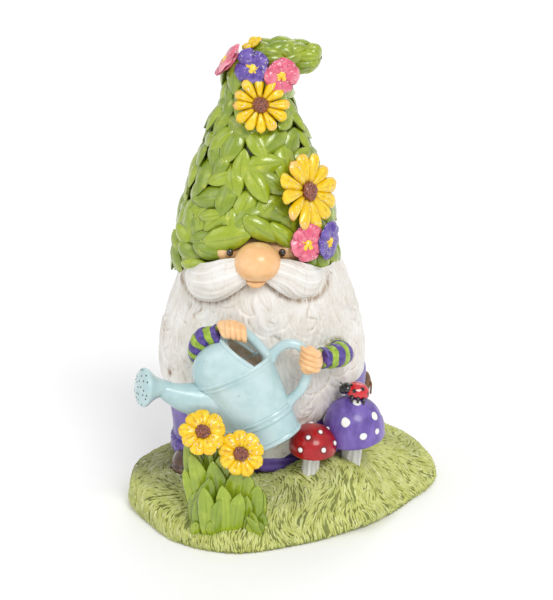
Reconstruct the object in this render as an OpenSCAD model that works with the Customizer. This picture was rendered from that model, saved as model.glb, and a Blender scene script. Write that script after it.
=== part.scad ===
// Garden gnome ornament: hand painted resin castings glued together on a grass mound.
// Millimetres, +Z up. The gnome faces -Y, so its own right hand is on the -X side.
// The origin is under the middle of the mound, on the surface it stands on.

/* [Mound] */
// Height of the mound's top where the figure stands
mound_top = 25.5; // [24:0.5:28]
// Rise of the mound's top from the gnome's right to its left, in mm per mm
mound_rise = 0.07; // [0:0.01:0.1]
// Depth of the seat that the coat is let into
seat_depth = 3; // [2:0.5:4]

/* [Figure] */
// Half width of the coat at its widest
coat_half_w = 56.5; // [52:0.5:58]
// Half width of the beard at its widest
beard_half_w = 60; // [58:0.5:63]
// Depth of the body as a share of its width
body_depth = 0.8; // [0.7:0.05:0.9]
// Radius of the round nose
nose_r = 13.2; // [10:0.2:15]

/* [Hat] */
// Radius of the hat cone at the brim, under the leaves
hat_r = 43; // [40:0.5:46]
// Depth of the hat as a share of its width
hat_depth = 0.88; // [0.8:0.02:1]
// Length of one hat leaf
leaf_l = 21; // [16:0.5:23]
// Width of one hat leaf
leaf_w = 14; // [10:0.5:15]
// Thickness of one hat leaf
leaf_t = 3.4; // [2.6:0.2:4]

/* [Flowers] */
// Radius of the sunflower near the top of the hat
sun_upper_r = 15.5; // [13:0.5:18]
// Radius of the sunflower on the side of the hat
sun_side_r = 22; // [18:0.5:24]
// Radius of a pansy
pansy_r = 10; // [8:0.5:12]
// Radius of each yellow flower on the ground
bed_flower_r = 13.2; // [11:0.2:15]

/* [Watering can] */
// Lean of the can towards its spout, in degrees
can_lean = 25; // [15:1:35]
// Height of the can from its foot to its rim
can_h = 48; // [42:1:54]
// Half width of the can at its rim
can_rim_r = 23; // [20:0.5:26]
// Half width of the can at its foot
can_foot_r = 17.6; // [14:0.2:20]
// Depth of the can as a share of its width
can_depth = 0.62; // [0.5:0.02:0.8]
// Wall of the can
can_wall = 2.2; // [1.6:0.2:3]
// Radius of both tubular handles
handle_r = 2.8; // [2.2:0.1:3.4]
// Radius of the face of the rose
rose_r = 12; // [9:0.5:14]

/* [Mushrooms] */
// Radius of the red mushroom's cap
red_cap_r = 13.6; // [11:0.2:16]
// Radius of the purple mushroom's cap
purple_cap_r = 17.8; // [14:0.2:20]

/* [Hidden] */
$fn = 48;

// Clearance all round a glued spigot or peg
glue_gap = 0.1;
// Plan positions of the body's and the hat's axes
gnome = [-12.3, 14];
hat_axis = [-15.6, 15];
seat_z = mound_top - seat_depth;
peg_r = 2.4;
spigot_r = 20;

// ---- plain geometry helpers -------------------------------------------------

function unit(v) = v / norm(v);
function mix(a, b, t) = a + (b - a) * t;

// One point of a smooth curve through b and c, with neighbours a and d
function curve(a, b, c, d, t) =
    0.5 * (2 * b + (c - a) * t + (2 * a - 5 * b + 4 * c - d) * t * t
        + (3 * b - a - 3 * c + d) * t * t * t);

// A closed smooth outline through the given points, with n steps between two points
function closed_curve(p, n) =
    let (m = len(p))
    [for (i = [0:m - 1]) for (k = [0:n - 1])
        curve(p[(i + m - 1) % m], p[i], p[(i + 1) % m], p[(i + 2) % m], k / n)];

// Skin over a stack of point rings that all have the same number of points
module skin(rings) {
    n = len(rings);
    s = len(rings[0]);
    polyhedron(
        points = [for (r = rings) for (p = r) p],
        faces = concat(
            [[for (i = [0:s - 1]) i]],
            [[for (i = [s - 1:-1:0]) (n - 1) * s + i]],
            [for (k = [0:n - 2]) for (i = [0:s - 1])
                let (j = (i + 1) % s)
                [k * s + i, (k + 1) * s + i, (k + 1) * s + j, k * s + j]]),
        convexity = 6);
}

// Stack of ellipses: each row is [z, half width, half depth, centre x, centre y]
module loft(rows, sides = 36) {
    skin([for (r = rows) [for (i = [0:sides - 1])
        let (a = 360 * i / sides) [r[3] + r[1] * cos(a), r[4] + r[2] * sin(a), r[0]]]]);
}

// Round or flattened bar along a path: radii are [across, along the side vector]
module bar(path, radii, side = [0, 1, 0], sides = 12) {
    n = len(path);
    skin([for (k = [0:n - 1])
        let (t = unit(path[min(k + 1, n - 1)] - path[max(k - 1, 0)]),
             u = unit(side - t * (side * t)), v = cross(u, t))
        [for (i = [0:sides - 1]) let (a = 360 * i / sides)
            path[k] + v * radii[k][0] * cos(a) + u * radii[k][1] * sin(a)]]);
}

// Same bar with one radius all along
module rod(path, r, sides = 12) {
    bar(path, [for (p = path) [r, r]], [0, 1, 0], sides);
}

// Shallow dome of radius r and height h on the XY plane
module dome(r, h) {
    ball = (r * r + h * h) / (2 * h);
    intersection() {
        translate([0, 0, h - ball]) sphere(ball);
        cylinder(r = r, h = h);
    }
}

// Puts things at a point so that their +Z looks along the given turn and rise
module facing(at, turn, rise) {
    translate(at) rotate([0, 0, turn]) rotate([90 - rise, 0, 0]) children();
}

// ---- mound ------------------------------------------------------------------

// Outline of the mound on the ground, with the height of the wall at each point
mound_outline = [
    [-90, -8, 22], [-88, -20, 21], [-76.5, -43, 16], [-60, -66, 9], [-30, -80, 6],
    [0, -73, 6], [30, -57, 7], [57, -33, 8], [76, -7, 9], [90, 16, 11], [92, 38, 13],
    [76, 64, 17], [44, 80, 20], [0, 79, 21], [-40, 64, 21], [-70.5, 33, 21], [-85, 11, 22]];
// Inward steps of the mound's skin: [share of the outline, share of the wall, of the top]
mound_steps = [[0.975, 0, 0], [1, 0.2, 0], [0.985, 0.7, 0], [0.95, 1, 0.04], [0.87, 1, 0.4],
    [0.77, 1, 0.76], [0.66, 1, 0.94], [0.5, 1, 1], [0.2, 1, 1]];

module mound_skin() {
    edge = closed_curve(mound_outline, 4);
    skin([for (s = mound_steps) [for (p = edge)
        [mix(gnome[0], p[0], s[0]), mix(gnome[1], p[1], s[0]),
            mix(p[2] * s[1], mound_top + mound_rise * s[0] * (p[0] - gnome[0]), s[2])]]]);
}

module ground_base() color("yellowgreen") difference() {
    mound_skin();
    translate([0, 0, seat_z]) coat_plan(0, mound_top);
    red_stalk_peg(glue_gap);
    purple_stalk_peg(glue_gap);
    bed_peg(glue_gap);
}

// ---- coat -------------------------------------------------------------------

// Plan of the coat's foot, swollen by grow
module coat_plan(grow, h) {
    r = coat_half_w * coat_rows[0][1] + grow;
    loft([[0, r, r * body_depth, gnome[0], gnome[1]], [h, r, r * body_depth, gnome[0], gnome[1]]]);
}

// Height and half width of the coat, as shares of its widest
coat_rows = [[seat_z, 0.84], [28.6, 0.86], [30, 0.925], [45, 0.945], [60, 0.98], [78, 1], [95, 1],
    [108, 0.965], [120, 0.885], [130, 0.79], [138, 0.69]];

module coat_form(wall, drop) {
    loft([for (r = coat_rows)
        [r[0] - drop, coat_half_w * r[1] - wall, coat_half_w * r[1] * body_depth - wall,
            gnome[0], gnome[1]]]);
}

module coat_body() color("rebeccapurple") difference() {
    coat_form(0, 0);
    coat_form(5, 7);
    translate([hat_axis[0], hat_axis[1], 120]) cylinder(r = spigot_r + glue_gap, h = 30);
    sleeve_right_form();
    sleeve_left_form();
}

// Turned-up band round the foot of the coat
module coat_hem() color("mediumpurple") difference() {
    loft([for (r = [[28.8, 0.93], [30, 0.965], [35.4, 0.96], [36.8, 0.94]])
        [r[0], coat_half_w * r[1], coat_half_w * r[1] * body_depth, gnome[0], gnome[1]]]);
    coat_form(0, 0);
    mound_skin();
    boot_form(-1);
    boot_form(1);
    red_stalk();
    purple_stalk();
}

// Toe of one boot: side is -1 for the gnome's right foot and 1 for its left
module boot_form(side) {
    x = gnome[0] + side * 43;
    loft([for (r = [[20.5, 9.8, 13.5, -9], [24, 10.6, 15, -10], [28, 9.8, 14, -9],
        [32, 8, 11, -6], [34, 4.5, 6.5, -4]]) [r[0], r[1], r[2], x, r[3]]], 24);
}

module boot(side) color("saddlebrown") difference() {
    boot_form(side);
    coat_form(0, 0);
    mound_skin();
}

// Small bag worn at the back of the gnome's left hip
module hip_pouch() color("sienna") difference() {
    loft([[50, 4, 5, 43, 31], [52, 7, 8, 43, 31], [59, 8, 9, 43, 31],
        [64, 8, 9, 43, 31], [67, 6, 7, 43, 31]], 24);
    coat_form(0, 0);
    beard_form();
}

// ---- head and beard ---------------------------------------------------------

// Beard sections: [z, half width, half depth, centre y] with widths for a 60 mm beard
beard_rows = [[35, 10, 11, -16], [40, 22, 20, -9], [46, 34, 29, -1], [54, 46, 38, 6],
    [63, 54.5, 44, 10], [75, 59, 47, 12], [92, 60, 49, 13], [105, 58.3, 48, 13],
    [116, 56, 46.5, 13], [126, 53, 44, 12], [134, 50, 42, 11], [141, 48, 39, 10],
    [147, 44, 36, 10]];

module beard_form() {
    loft([for (r = beard_rows)
        [r[0], r[1] * beard_half_w / 60, r[2] * beard_half_w / 60, gnome[0], r[3]]], 40);
}

module beard() color("ghostwhite") difference() {
    beard_form();
    coat_form(0, 0);
    translate([-150, gnome[1] + 8, 0]) cube([300, 150, 200]);
    head_form();
    hat_form(0);
    nose_form(glue_gap);
    lip_form();
    moustache_form(-1);
    moustache_form(1);
    sleeve_right_form();
    sleeve_left_form();
    can_envelope();
    can_loops();
    hand_right_form();
    hand_left_form();
    red_cap_form();
    purple_cap_form();
    red_stalk();
}

module head_form() {
    loft([for (r = [[138, 33, 27], [144, 36, 30], [152, 37, 31.5], [162, 36.5, 31.5],
        [170, 34, 30], [176, 30, 27]]) [r[0], r[1], r[2], hat_axis[0], 5.5]]);
}

module head() color("sandybrown") difference() {
    union() {
        head_form();
        translate([hat_axis[0], hat_axis[1], 122]) cylinder(r = spigot_r, h = 16.01);
        translate([hat_axis[0], hat_axis[1], 166]) cylinder(r = spigot_r - 6, h = 30);
    }
    nose_form(glue_gap);
    for (x = eye_x) translate([x, eye_y, eye_z]) sphere(eye_r);
}

eye_x = [-30, -0.6];
eye_y = -22;
eye_z = 161;
eye_r = 1.9;

module eyes() color("black") for (x = eye_x) translate([x, eye_y, eye_z]) sphere(eye_r);

// Nose ball with a glue peg behind it
module nose_form(gap) {
    translate([-14.3, -31, 158]) {
        sphere(nose_r + gap);
        rotate([-90, 0, 0]) cylinder(r = 5 + gap, h = 20 + gap);
    }
}

module nose() color("sandybrown") nose_form(0);

module lip_form() {
    bar([[-21, -31, 145.5], [-18.5, -33.5, 143.6], [-15.3, -34.4, 143], [-12, -33.5, 143.6],
        [-9.5, -31, 145.5]], [[0.8, 1.2], [1.9, 3], [2.3, 3.8], [1.9, 3], [0.8, 1.2]]);
}

module lower_lip() color("sandybrown") difference() {
    lip_form();
    head_form();
    nose_form(glue_gap);
}

// Drooping lobe of the moustache: side is -1 for the gnome's right and 1 for its left
module moustache_form(side) {
    mid = -14.8;
    path = [[3, -28, 148], [10, -32, 147], [18, -32, 145.5], [27, -28.5, 144.5],
        [35, -22, 145], [40, -15, 146.5]];
    radii = [[3, 4], [7, 7], [9.2, 7.5], [9, 7], [6, 5.5], [2.5, 2.5]];
    bar([for (p = path) [mid + side * p[0], p[1], p[2]]], radii, [0, 0, 1], 16);
}

module moustache(side) color("white") difference() {
    moustache_form(side);
    head_form();
    hat_form(0);
    nose_form(glue_gap);
    lip_form();
}

// ---- hat --------------------------------------------------------------------

// Height of the hat cone and its radius as a share of the brim's
hat_rows = [[147, 1], [160, 0.99], [172, 0.95], [184, 0.88], [196, 0.79], [208, 0.69],
    [220, 0.57], [232, 0.45], [243, 0.38], [252, 0.36]];

// Radius of the hat cone at height z
function hat_radius(z) = hat_r * lookup(z, hat_rows);

module hat_form(grow) {
    difference() {
        loft([for (r = hat_rows)
            [r[0], hat_r * r[1] + grow, hat_r * r[1] * hat_depth + grow,
                hat_axis[0], hat_axis[1]]]);
        face_arch();
    }
}

// Opening of the hat over the face
module face_arch() {
    translate([hat_axis[0] + 1, hat_axis[1] - 20, 144]) rotate([90, 0, 0])
        cylinder(r = 25, h = 60);
}

module hat_cone() color("olivedrab") difference() {
    hat_form(0);
    head_form();
    coat_form(0, 0);
    translate([hat_axis[0], hat_axis[1], 120])
        cylinder(r = spigot_r - 6 + glue_gap, h = 76 + glue_gap);
    nose_form(glue_gap);
    hat_pegs(glue_gap);
    tip_peg(glue_gap);
}

// Bent tip of the hat, a fat horn that flops to the gnome's left
tip_path = [[-15.3, 15, 252], [-14.5, 15, 259], [-11, 15.5, 264.5], [-4, 16, 267.5],
    [5, 17, 266.5], [12, 17, 264], [18.5, 17, 262]];
tip_radii = [14.8, 14.2, 13, 11.5, 9, 6.5, 2.6];

module tip_form() {
    bar(tip_path, [for (r = tip_radii) [r, r * 0.92]], [0, 1, 0], 24);
}

module tip_peg(gap) {
    translate([hat_axis[0], hat_axis[1], 238]) cylinder(r = 6 + gap, h = 16);
}

module hat_tip() color("olivedrab") difference() {
    union() {
        tip_form();
        tip_peg(0);
    }
    hat_pegs(glue_gap);
}

// One pointed leaf: its stalk end is at the origin, it lies on XZ and points down -Z
module leaf(l, w, t) {
    half = [[0, 0.12], [0.18, 0.36], [0.45, 0.5], [0.75, 0.34]];
    rim = concat([for (p = half) [-p[1] * w, 0, -p[0] * l]], [[0, 0, -l]],
        [for (i = [len(half) - 1:-1:0]) [half[i][1] * w, 0, -half[i][0] * l]]);
    n = len(rim);
    hull() polyhedron(
        points = concat(rim, [[0, -t * 0.6, -0.4 * l], [0, t * 0.4, -0.4 * l]]),
        faces = concat([for (i = [0:n - 1]) [i, (i + 1) % n, n]],
            [for (i = [0:n - 1]) [(i + 1) % n, i, n + 1]]));
}

// Ring of leaves whose stalk ends are at height z: kick lifts the tips off the cone
module leaf_ring(z, count, offset, kick, size = 1) {
    for (i = [0:count - 1]) let (
        a = 360 * (i + offset) / count,
        lean = 18 * sin(137.5 * (i * 3 + z)),
        r = hat_radius(z) + 0.8,
        slope = atan2(hat_radius(z - 12) - hat_radius(z), 12))
        translate([hat_axis[0] + r * sin(a), hat_axis[1] - r * hat_depth * cos(a), z])
            rotate([0, 0, a]) rotate([-slope - kick, 0, 0]) rotate([0, lean, 0])
                leaf(leaf_l * size, leaf_w * size, leaf_t);
}

module brim_rows() {
    leaf_ring(161, 20, 0, 7);
    leaf_ring(169, 20, 0.5, 9);
}

module lower_rows() {
    leaf_ring(179, 19, 0.2, 8);
    leaf_ring(189, 17, 0.6, 9);
}

module middle_rows() {
    leaf_ring(199, 16, 0.1, 8);
    leaf_ring(209, 14, 0.6, 9);
}

module upper_rows() {
    leaf_ring(219, 12, 0.3, 8);
    leaf_ring(229, 11, 0.8, 9, 0.95);
    leaf_ring(239, 10, 0.2, 9, 0.9);
    leaf_ring(249, 9, 0.7, 9, 0.85);
}

// Leaves laid along the bent tip, each pointing at its end
module tip_rows() {
    for (k = [1:5]) for (i = [0:4]) let (
        p = tip_path[k], t = unit(tip_path[k + 1] - tip_path[k - 1]),
        a = 72 * i + 36 * (k % 2), u = [0, 1, 0], v = cross(u, t),
        out = v * cos(a) + u * sin(a) * 0.92)
        translate(p + out * (tip_radii[k] - 0.4))
            multmatrix([for (r = [0:2]) [cross(out, t)[r], -out[r], -t[r], 0]])
                leaf(leaf_l * 0.72, leaf_w * 0.8, leaf_t);
}

// Leaves are trimmed to the cone, the face and the flowers' pegs behind and among them
module trim_leaves() {
    difference() {
        children();
        hat_form(0);
        head_form();
        nose_form(glue_gap);
        hat_pegs(glue_gap);
        hat_flower_backs();
    }
}

module hat_brim_leaves() color("yellowgreen") trim_leaves() difference() {
    brim_rows();
    lower_rows();
    face_arch();
    beard_form();
    coat_form(0, 0);
    moustache_form(-1);
    moustache_form(1);
    for (x = eye_x) translate([x, eye_y, eye_z]) sphere(eye_r);
}

module hat_lower_leaves() color("olivedrab") trim_leaves() difference() {
    lower_rows();
    middle_rows();
}

module hat_middle_leaves() color("yellowgreen") trim_leaves() difference() {
    middle_rows();
    upper_rows();
}

module hat_upper_leaves() color("olivedrab") trim_leaves() difference() {
    upper_rows();
    tip_form();
    tip_rows();
}

module hat_tip_leaves() color("yellowgreen") trim_leaves() difference() {
    tip_rows();
    tip_form();
}

// ---- flowers ----------------------------------------------------------------

// Height of a flower's recess for its centre
function recess_z(thick) = thick * 0.5;

// Flower head with round petals: it faces +Z, and its back is on the XY plane
module petals(r, count, thick, notch = 0.2) {
    steps = count * 4;
    rows = [[0, 0.4], [thick * 0.35, 0.96], [thick * 0.75, 1], [thick, 0.62],
        [thick * 0.8, 0.2]];
    skin([for (row = rows) [for (i = [0:steps - 1])
        let (a = 360 * i / steps,
             lobe = 1 - notch + notch * sqrt(abs(cos(count * a / 2))),
             q = r * row[1] * (row[1] > 0.9 ? lobe : 1))
        [q * cos(a), q * sin(a), row[0]]]]);
}

module flower_head(r, count, thick, centre_r, notch = 0.2) {
    difference() {
        petals(r, count, thick, notch);
        translate([0, 0, recess_z(thick)]) cylinder(r = centre_r + glue_gap, h = thick);
    }
    translate([0, 0, -peg_l]) cylinder(r = peg_r, h = peg_l + thick * 0.3);
}

module flower_centre(thick, centre_r, rise) {
    translate([0, 0, recess_z(thick)]) dome(centre_r, rise);
}

peg_l = 8;
petal_t = 4.2;

// Places of the flowers: [position, turn about Z, rise of the face]
sun_upper_at = [[-12.2, -3.5, 240], 5, 20];
sun_side_at = [[13.8, -12.5, 193], 48, 14];
purple_top_at = [[-17.2, -0.5, 262], -8, 18];
pink_top_at = [[-1.8, 0, 258], 18, 6];
pink_side_at = [[-31, 9.5, 262], -76, 38];
yellow_crown_at = [[-19, 12, 274.5], -40, 58];
pink_brim_at = [[12.5, -21, 166], 32, 10];
purple_brim_at = [[24.8, -12, 164], 62, 4];
bed_high_at = [[-44.8, -67, 68.5], 0, 38];
bed_low_at = [[-23.6, -71, 57.5], 0, 22];

module at_flower(place) {
    facing(place[0], place[1], place[2]) children();
}

hat_pegged = [sun_upper_at, sun_side_at, purple_top_at, pink_top_at, pink_side_at,
    yellow_crown_at, pink_brim_at, purple_brim_at];

module hat_pegs(gap) {
    for (f = hat_pegged) at_flower(f)
        translate([0, 0, -peg_l - gap]) cylinder(r = peg_r + gap, h = peg_l + 1);
}

// Room that the hat's flowers take up, used to trim the leaves behind them
module hat_flower_backs() {
    at_flower(sun_upper_at) cylinder(r = sun_upper_r, h = petal_t + 4);
    at_flower(sun_side_at) cylinder(r = sun_side_r, h = petal_t + 4);
    for (f = [purple_top_at, pink_top_at, pink_side_at, pink_brim_at, purple_brim_at])
        at_flower(f) cylinder(r = pansy_r + 1.2, h = petal_t + 4);
    at_flower(yellow_crown_at) cylinder(r = 6.2, h = petal_t + 4);
}

module sunflower_upper_petals() color("gold")
    at_flower(sun_upper_at) flower_head(sun_upper_r, 12, petal_t, 4.2);

module sunflower_upper_centre() color("saddlebrown")
    at_flower(sun_upper_at) flower_centre(petal_t, 4.2, 3.4);

module sunflower_side_petals() color("gold")
    at_flower(sun_side_at) flower_head(sun_side_r, 11, petal_t, 6);

module sunflower_side_centre() color("saddlebrown")
    at_flower(sun_side_at) flower_centre(petal_t, 6, 4);

module pansy(place, r, paint) color(paint)
    at_flower(place) flower_head(r, 5, petal_t, 2, 0.16);

module blossom_yellow_crown() color("gold")
    at_flower(yellow_crown_at) flower_head(6.4, 5, petal_t, 2, 0.16);

module pansy_centres() color("gold")
    for (f = [purple_top_at, pink_top_at, pink_side_at, pink_brim_at, purple_brim_at])
        at_flower(f) flower_centre(petal_t, 2, 2.4);

// ---- arms -------------------------------------------------------------------

module sleeve_right_form() {
    bar([[-46, -12, 101], [-48, -26, 102], [-48, -37, 106], [-44.5, -42.5, 114.5],
        [-36, -45.5, 119.5]], [[5, 5], [5.4, 5.4], [5.8, 5.8], [5.6, 5.6], [4.8, 4.8]],
        [0, 0, 1], 20);
}

module sleeve_left_form() {
    bar([[24, -12, 100], [32, -23, 103.5], [33.5, -31, 104.5], [29.5, -38.5, 104.5],
        [21, -44.5, 104.8]], [[5.4, 5.4], [6, 6], [6.4, 6.4], [6.2, 6.2], [5.2, 5.2]],
        [0, 0, 1], 20);
}

module sleeve_right() color("darkslateblue") difference() {
    sleeve_right_form();
    hand_right_form();
    coat_form(5, 7);
    can_envelope();
}

module sleeve_left() color("darkslateblue") difference() {
    sleeve_left_form();
    hand_left_form();
    coat_form(5, 7);
    can_envelope();
}

// Fist of four fingers curled over a bar that runs along X
module fist() {
    loft([[-6, 3.4, 3, 0, 1], [-4.4, 5.8, 4.6, 0, 1], [0, 6.9, 5.4, 0, 1],
        [4.4, 6, 4.8, 0, 1], [6, 3.6, 3, 0, 1]], 16);
    for (i = [0:3]) let (x = -5.1 + 3.4 * i)
        bar([[x, 0, 6.6], [x, -3.8, 5.4], [x, -6, 1.8], [x, -5.8, -2.4], [x, -2.8, -5.4]],
            [[1.4, 1.2], [2, 2], [2.1, 2.1], [2, 2], [1.3, 1.2]], [1, 0, 0], 8);
}

module hand_right_form() {
    translate([-28.2, -46.5, 121.6]) rotate([0, 14, 0]) scale([1, 1, 0.84]) fist();
}

module hand_left_form() {
    translate([14.6, -46.5, 104.8]) rotate([0, 96, 0]) scale([1, 1, 0.9]) fist();
}

module hand_right() color("sandybrown") difference() {
    hand_right_form();
    top_handle_form(glue_gap);
}

module hand_left() color("sandybrown") difference() {
    hand_left_form();
    side_handle_form(glue_gap);
}

// ---- watering can -----------------------------------------------------------

// Middle of the can's rim
rim_at = [-28, -46, 98.5];

// Things in the can's own frame, +Z out of its mouth
module in_can() {
    translate(rim_at) rotate([0, -can_lean, 0]) children();
}

function can_half_w(z) = mix(can_rim_r, can_foot_r, -z / can_h);

// Rows of the can from foot to rim, with its foot bead, middle band and rim bead
can_rows = [[-can_h, 0.3], [-can_h + 2.4, 0.9], [-can_h + 3, 0], [-35, 0], [-34.4, 0.8],
    [-31, 0.8], [-30.4, 0], [-2.6, 0], [-2, 0.8], [0, 0.8]];

module can_outside() {
    loft([for (r = can_rows) let (w = can_half_w(r[0]))
        [r[0], w + r[1], w * can_depth + r[1], 0, 0]], 40);
}

module can_inside() {
    loft([for (z = [-can_h + 3.5, 1]) let (w = can_half_w(z) - can_wall)
        [z, w, w * can_depth / 0.98 - can_wall * 0.4, 0, 0]], 40);
}

module can_body() color("powderblue") difference() {
    in_can() can_outside();
    in_can() can_inside();
    top_handle_form(0);
    side_handle_form(0);
    bed_flower_room();
}

// Half dome over the spout side of the mouth
hood_rows = [[0, 1], [5, 0.985], [10, 0.9], [14, 0.76], [17, 0.56], [19, 0.3], [19.6, 0.1]];

module hood_form(grow) {
    in_can() intersection() {
        loft([for (r = hood_rows)
            [r[0] + (r[0] > 0 ? grow : 0), max(0.5, can_rim_r * r[1] + grow),
                max(0.5, can_rim_r * can_depth * r[1] + grow), 0, 0]], 40);
        translate([2, 0, 19.6]) rotate([0, -28, 0]) translate([-100, -50, -100])
            cube([100, 100, 200]);
    }
}

module can_hood() color("powderblue") difference() {
    hood_form(0);
    hood_form(-can_wall);
    in_can() translate([0, 0, -50]) cube([200, 200, 100], center = true);
    top_handle_form(0);
    hand_right_form();
}

// The whole can as one solid, for the beard's pocket and the sleeves
module can_envelope() {
    in_can() can_outside();
    hood_form(0);
}

spout_root = [-40, -46, 79.5];
spout_neck = [-70.5, -50, 89];
rose_turn = 28;

module spout_form() {
    run = spout_neck - spout_root;
    translate(spout_root) rotate([0, acos(run[2] / norm(run)), atan2(run[1], run[0])])
        cylinder(r1 = 11.4, r2 = 5.2, h = norm(run));
}

module can_spout() color("powderblue") difference() {
    spout_form();
    in_can() can_outside();
    rose_form();
    bed_flower_room();
}

// Flared rose with a domed face, turned about its own axis
module rose_form() {
    translate(spout_neck) rotate([0, 0, rose_turn]) rotate([0, -80, 0]) {
        translate([0, 0, -1]) cylinder(r1 = 5, r2 = rose_r, h = 8.4);
        translate([0, 0, 7.4]) cylinder(r = rose_r, h = 1.4);
        translate([0, 0, 8.8]) dome(rose_r, 3.4);
    }
}

module can_rose() color("powderblue") rose_form();

module top_handle_form(gap) {
    rod([[-34.5, -46, 113], [-33.4, -46, 117], [-31, -46, 120.2], [-27, -46, 121.9],
        [-22.4, -46, 120.8], [-17.8, -46, 117.2], [-13, -46, 111.8], [-8.4, -46, 105.5]],
        handle_r + gap, 14);
}

module side_handle_form(gap) {
    rod([[-8, -46, 104.5], [-4.4, -46, 109.5], [0, -46, 112.8], [5, -46, 113.8],
        [10, -46, 111.6], [13.2, -46, 106.5], [14, -46, 99.5], [12.2, -46, 91],
        [8.6, -46, 84.4], [2, -46, 78]], handle_r + gap, 14);
}

// Both handles, for the pockets cut round them
module can_loops() {
    top_handle_form(glue_gap);
    side_handle_form(glue_gap);
}

module can_top_handle() color("powderblue") difference() {
    top_handle_form(0);
    in_can() can_inside();
    hood_form(-can_wall);
}

module can_side_handle() color("powderblue") difference() {
    side_handle_form(0);
    in_can() can_inside();
    top_handle_form(0);
}

// ---- flower bed -------------------------------------------------------------

bed_at = [-34, -64];

// Blades of the bed: [x, y, length, width, lean sideways, lean forwards]
bed_blades = [
    [-50, -61, 46, 13, 13, 4], [-42, -59, 48, 14, 4, 2], [-34, -59, 48, 15, -2, 2],
    [-25, -59, 42, 15, -8, 3], [-17, -59, 36, 14, -14, 4], [-51, -66, 26, 11, 14, 6],
    [-44, -69, 30, 11, 6, 8], [-37, -70, 28, 11, 0, 8], [-30, -69, 28, 11, -3, 8],
    [-23, -67, 25, 12, -8, 8], [-14, -62, 22, 12, -16, 6]];

module bed_peg(gap) {
    translate([bed_at[0], bed_at[1], 3]) cylinder(r = 4 + gap, h = 20);
}

module bed_leaves() color("limegreen") difference() {
    union() {
        for (b = bed_blades) translate([b[0], b[1], 7])
            rotate([b[5], 0, 0]) rotate([0, -b[4], 0]) mirror([0, 0, 1])
                leaf(b[2], b[3], 4);
        bed_peg(0);
        translate([bed_at[0], bed_at[1] + 1, 4]) cylinder(r1 = 15, r2 = 9, h = 16);
    }
    difference() {
        mound_skin();
        bed_peg(0);
    }
    bed_stem_forms();
    bed_flower_room();
    in_can() can_outside();
    spout_form();
}

module bed_stem_forms() {
    rod([[-36, -63, 14], [-38, -64, 34], [-41, -63.5, 54], [-43.4, -65.2, 66]], 2.6, 10);
    rod([[-31, -65, 14], [-29, -66, 32], [-26, -67.2, 47], [-24.2, -69.4, 56]], 2.6, 10);
}

module bed_stems() color("forestgreen") difference() {
    bed_stem_forms();
    at_flower(bed_high_at) cylinder(r = 30, h = 30);
    at_flower(bed_low_at) cylinder(r = 30, h = 30);
    at_flower(bed_high_at) translate([0, 0, -3]) cylinder(r = 1.6, h = 6);
    at_flower(bed_low_at) translate([0, 0, -3]) cylinder(r = 1.6, h = 6);
}

// Room that the two flowers of the bed take up
module bed_flower_room() {
    for (f = [bed_high_at, bed_low_at])
        at_flower(f) translate([0, 0, -0.3]) cylinder(r = bed_flower_r + 0.4, h = petal_t + 5);
}

module bed_head(place, r) {
    at_flower(place) {
        difference() {
            petals(r, 9, petal_t + 0.8, 0.14);
            translate([0, 0, recess_z(petal_t)]) cylinder(r = 3.9 + glue_gap, h = 9);
        }
        translate([0, 0, -3 + glue_gap]) cylinder(r = 1.5, h = 4);
    }
}

module bed_flower_high_petals() color("gold") bed_head(bed_high_at, bed_flower_r);
module bed_flower_low_petals() color("gold") bed_head(bed_low_at, bed_flower_r - 0.9);

module bed_flower_high_centre() color("saddlebrown")
    at_flower(bed_high_at) flower_centre(petal_t, 3.9, 3.6);

module bed_flower_low_centre() color("saddlebrown")
    at_flower(bed_low_at) flower_centre(petal_t, 3.9, 3.6);

// ---- mushrooms and ladybird -------------------------------------------------

red_at = [16.8, -39];
purple_at = [40, -26];
red_rim_z = 48;
purple_rim_z = 51;

// Cap of radius r and height h over its rim, with a socket for its stalk
module cap(r, h, stalk_r) {
    difference() {
        rotate_extrude() polygon(concat([[0, -2.2], [r * 0.8, -1.8], [r * 0.97, -0.9]],
            [for (i = [0:12]) let (a = 90 * i / 12) [r * cos(a), h * sin(a)]]));
        translate([0, 0, -4]) cylinder(r = stalk_r + glue_gap, h = 8);
    }
}

module red_cap_form() {
    translate([red_at[0], red_at[1] - 1, red_rim_z]) rotate([4, 3, 0]) cap(red_cap_r, 14.2, 3.6);
}

module purple_cap_form() {
    translate([purple_at[0] + 1, purple_at[1] - 1, purple_rim_z]) rotate([6, -6, 0])
        cap(purple_cap_r, 23.6, 4.6);
}

module red_mushroom_cap() color("crimson") red_cap_form();

module purple_mushroom_cap() color("slateblue") difference() {
    purple_cap_form();
    red_cap_form();
    ladybird_peg(glue_gap);
}

module red_stalk_peg(gap) {
    translate([red_at[0] - 2, red_at[1], 16]) cylinder(r = 2 + gap, h = 14);
}

module purple_stalk_peg(gap) {
    translate([purple_at[0] - 3, purple_at[1], 14]) cylinder(r = 2.5 + gap, h = 14);
}

module red_stalk() {
    translate([red_at[0] - 2, red_at[1], 20]) rotate([2, 5, 0])
        cylinder(r1 = 5.6, r2 = 3.5, h = 31);
}

module purple_stalk() {
    translate([purple_at[0] - 3, purple_at[1], 18]) rotate([2, 6, 0])
        cylinder(r1 = 7.4, r2 = 4.5, h = 36);
}

module red_mushroom_stalk() color("gainsboro") {
    difference() {
        red_stalk();
        mound_skin();
        red_cap_form();
        coat_form(0, 0);
    }
    red_stalk_peg(0);
}

module purple_mushroom_stalk() color("gainsboro") {
    difference() {
        purple_stalk();
        mound_skin();
        purple_cap_form();
        coat_form(0, 0);
    }
    purple_stalk_peg(0);
}

ladybird_at = [42.5, -26.5, 73.2];

module ladybird_peg(gap) {
    translate(ladybird_at) translate([0, 0, -4]) cylinder(r = 1.4 + gap, h = 5);
}

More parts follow.
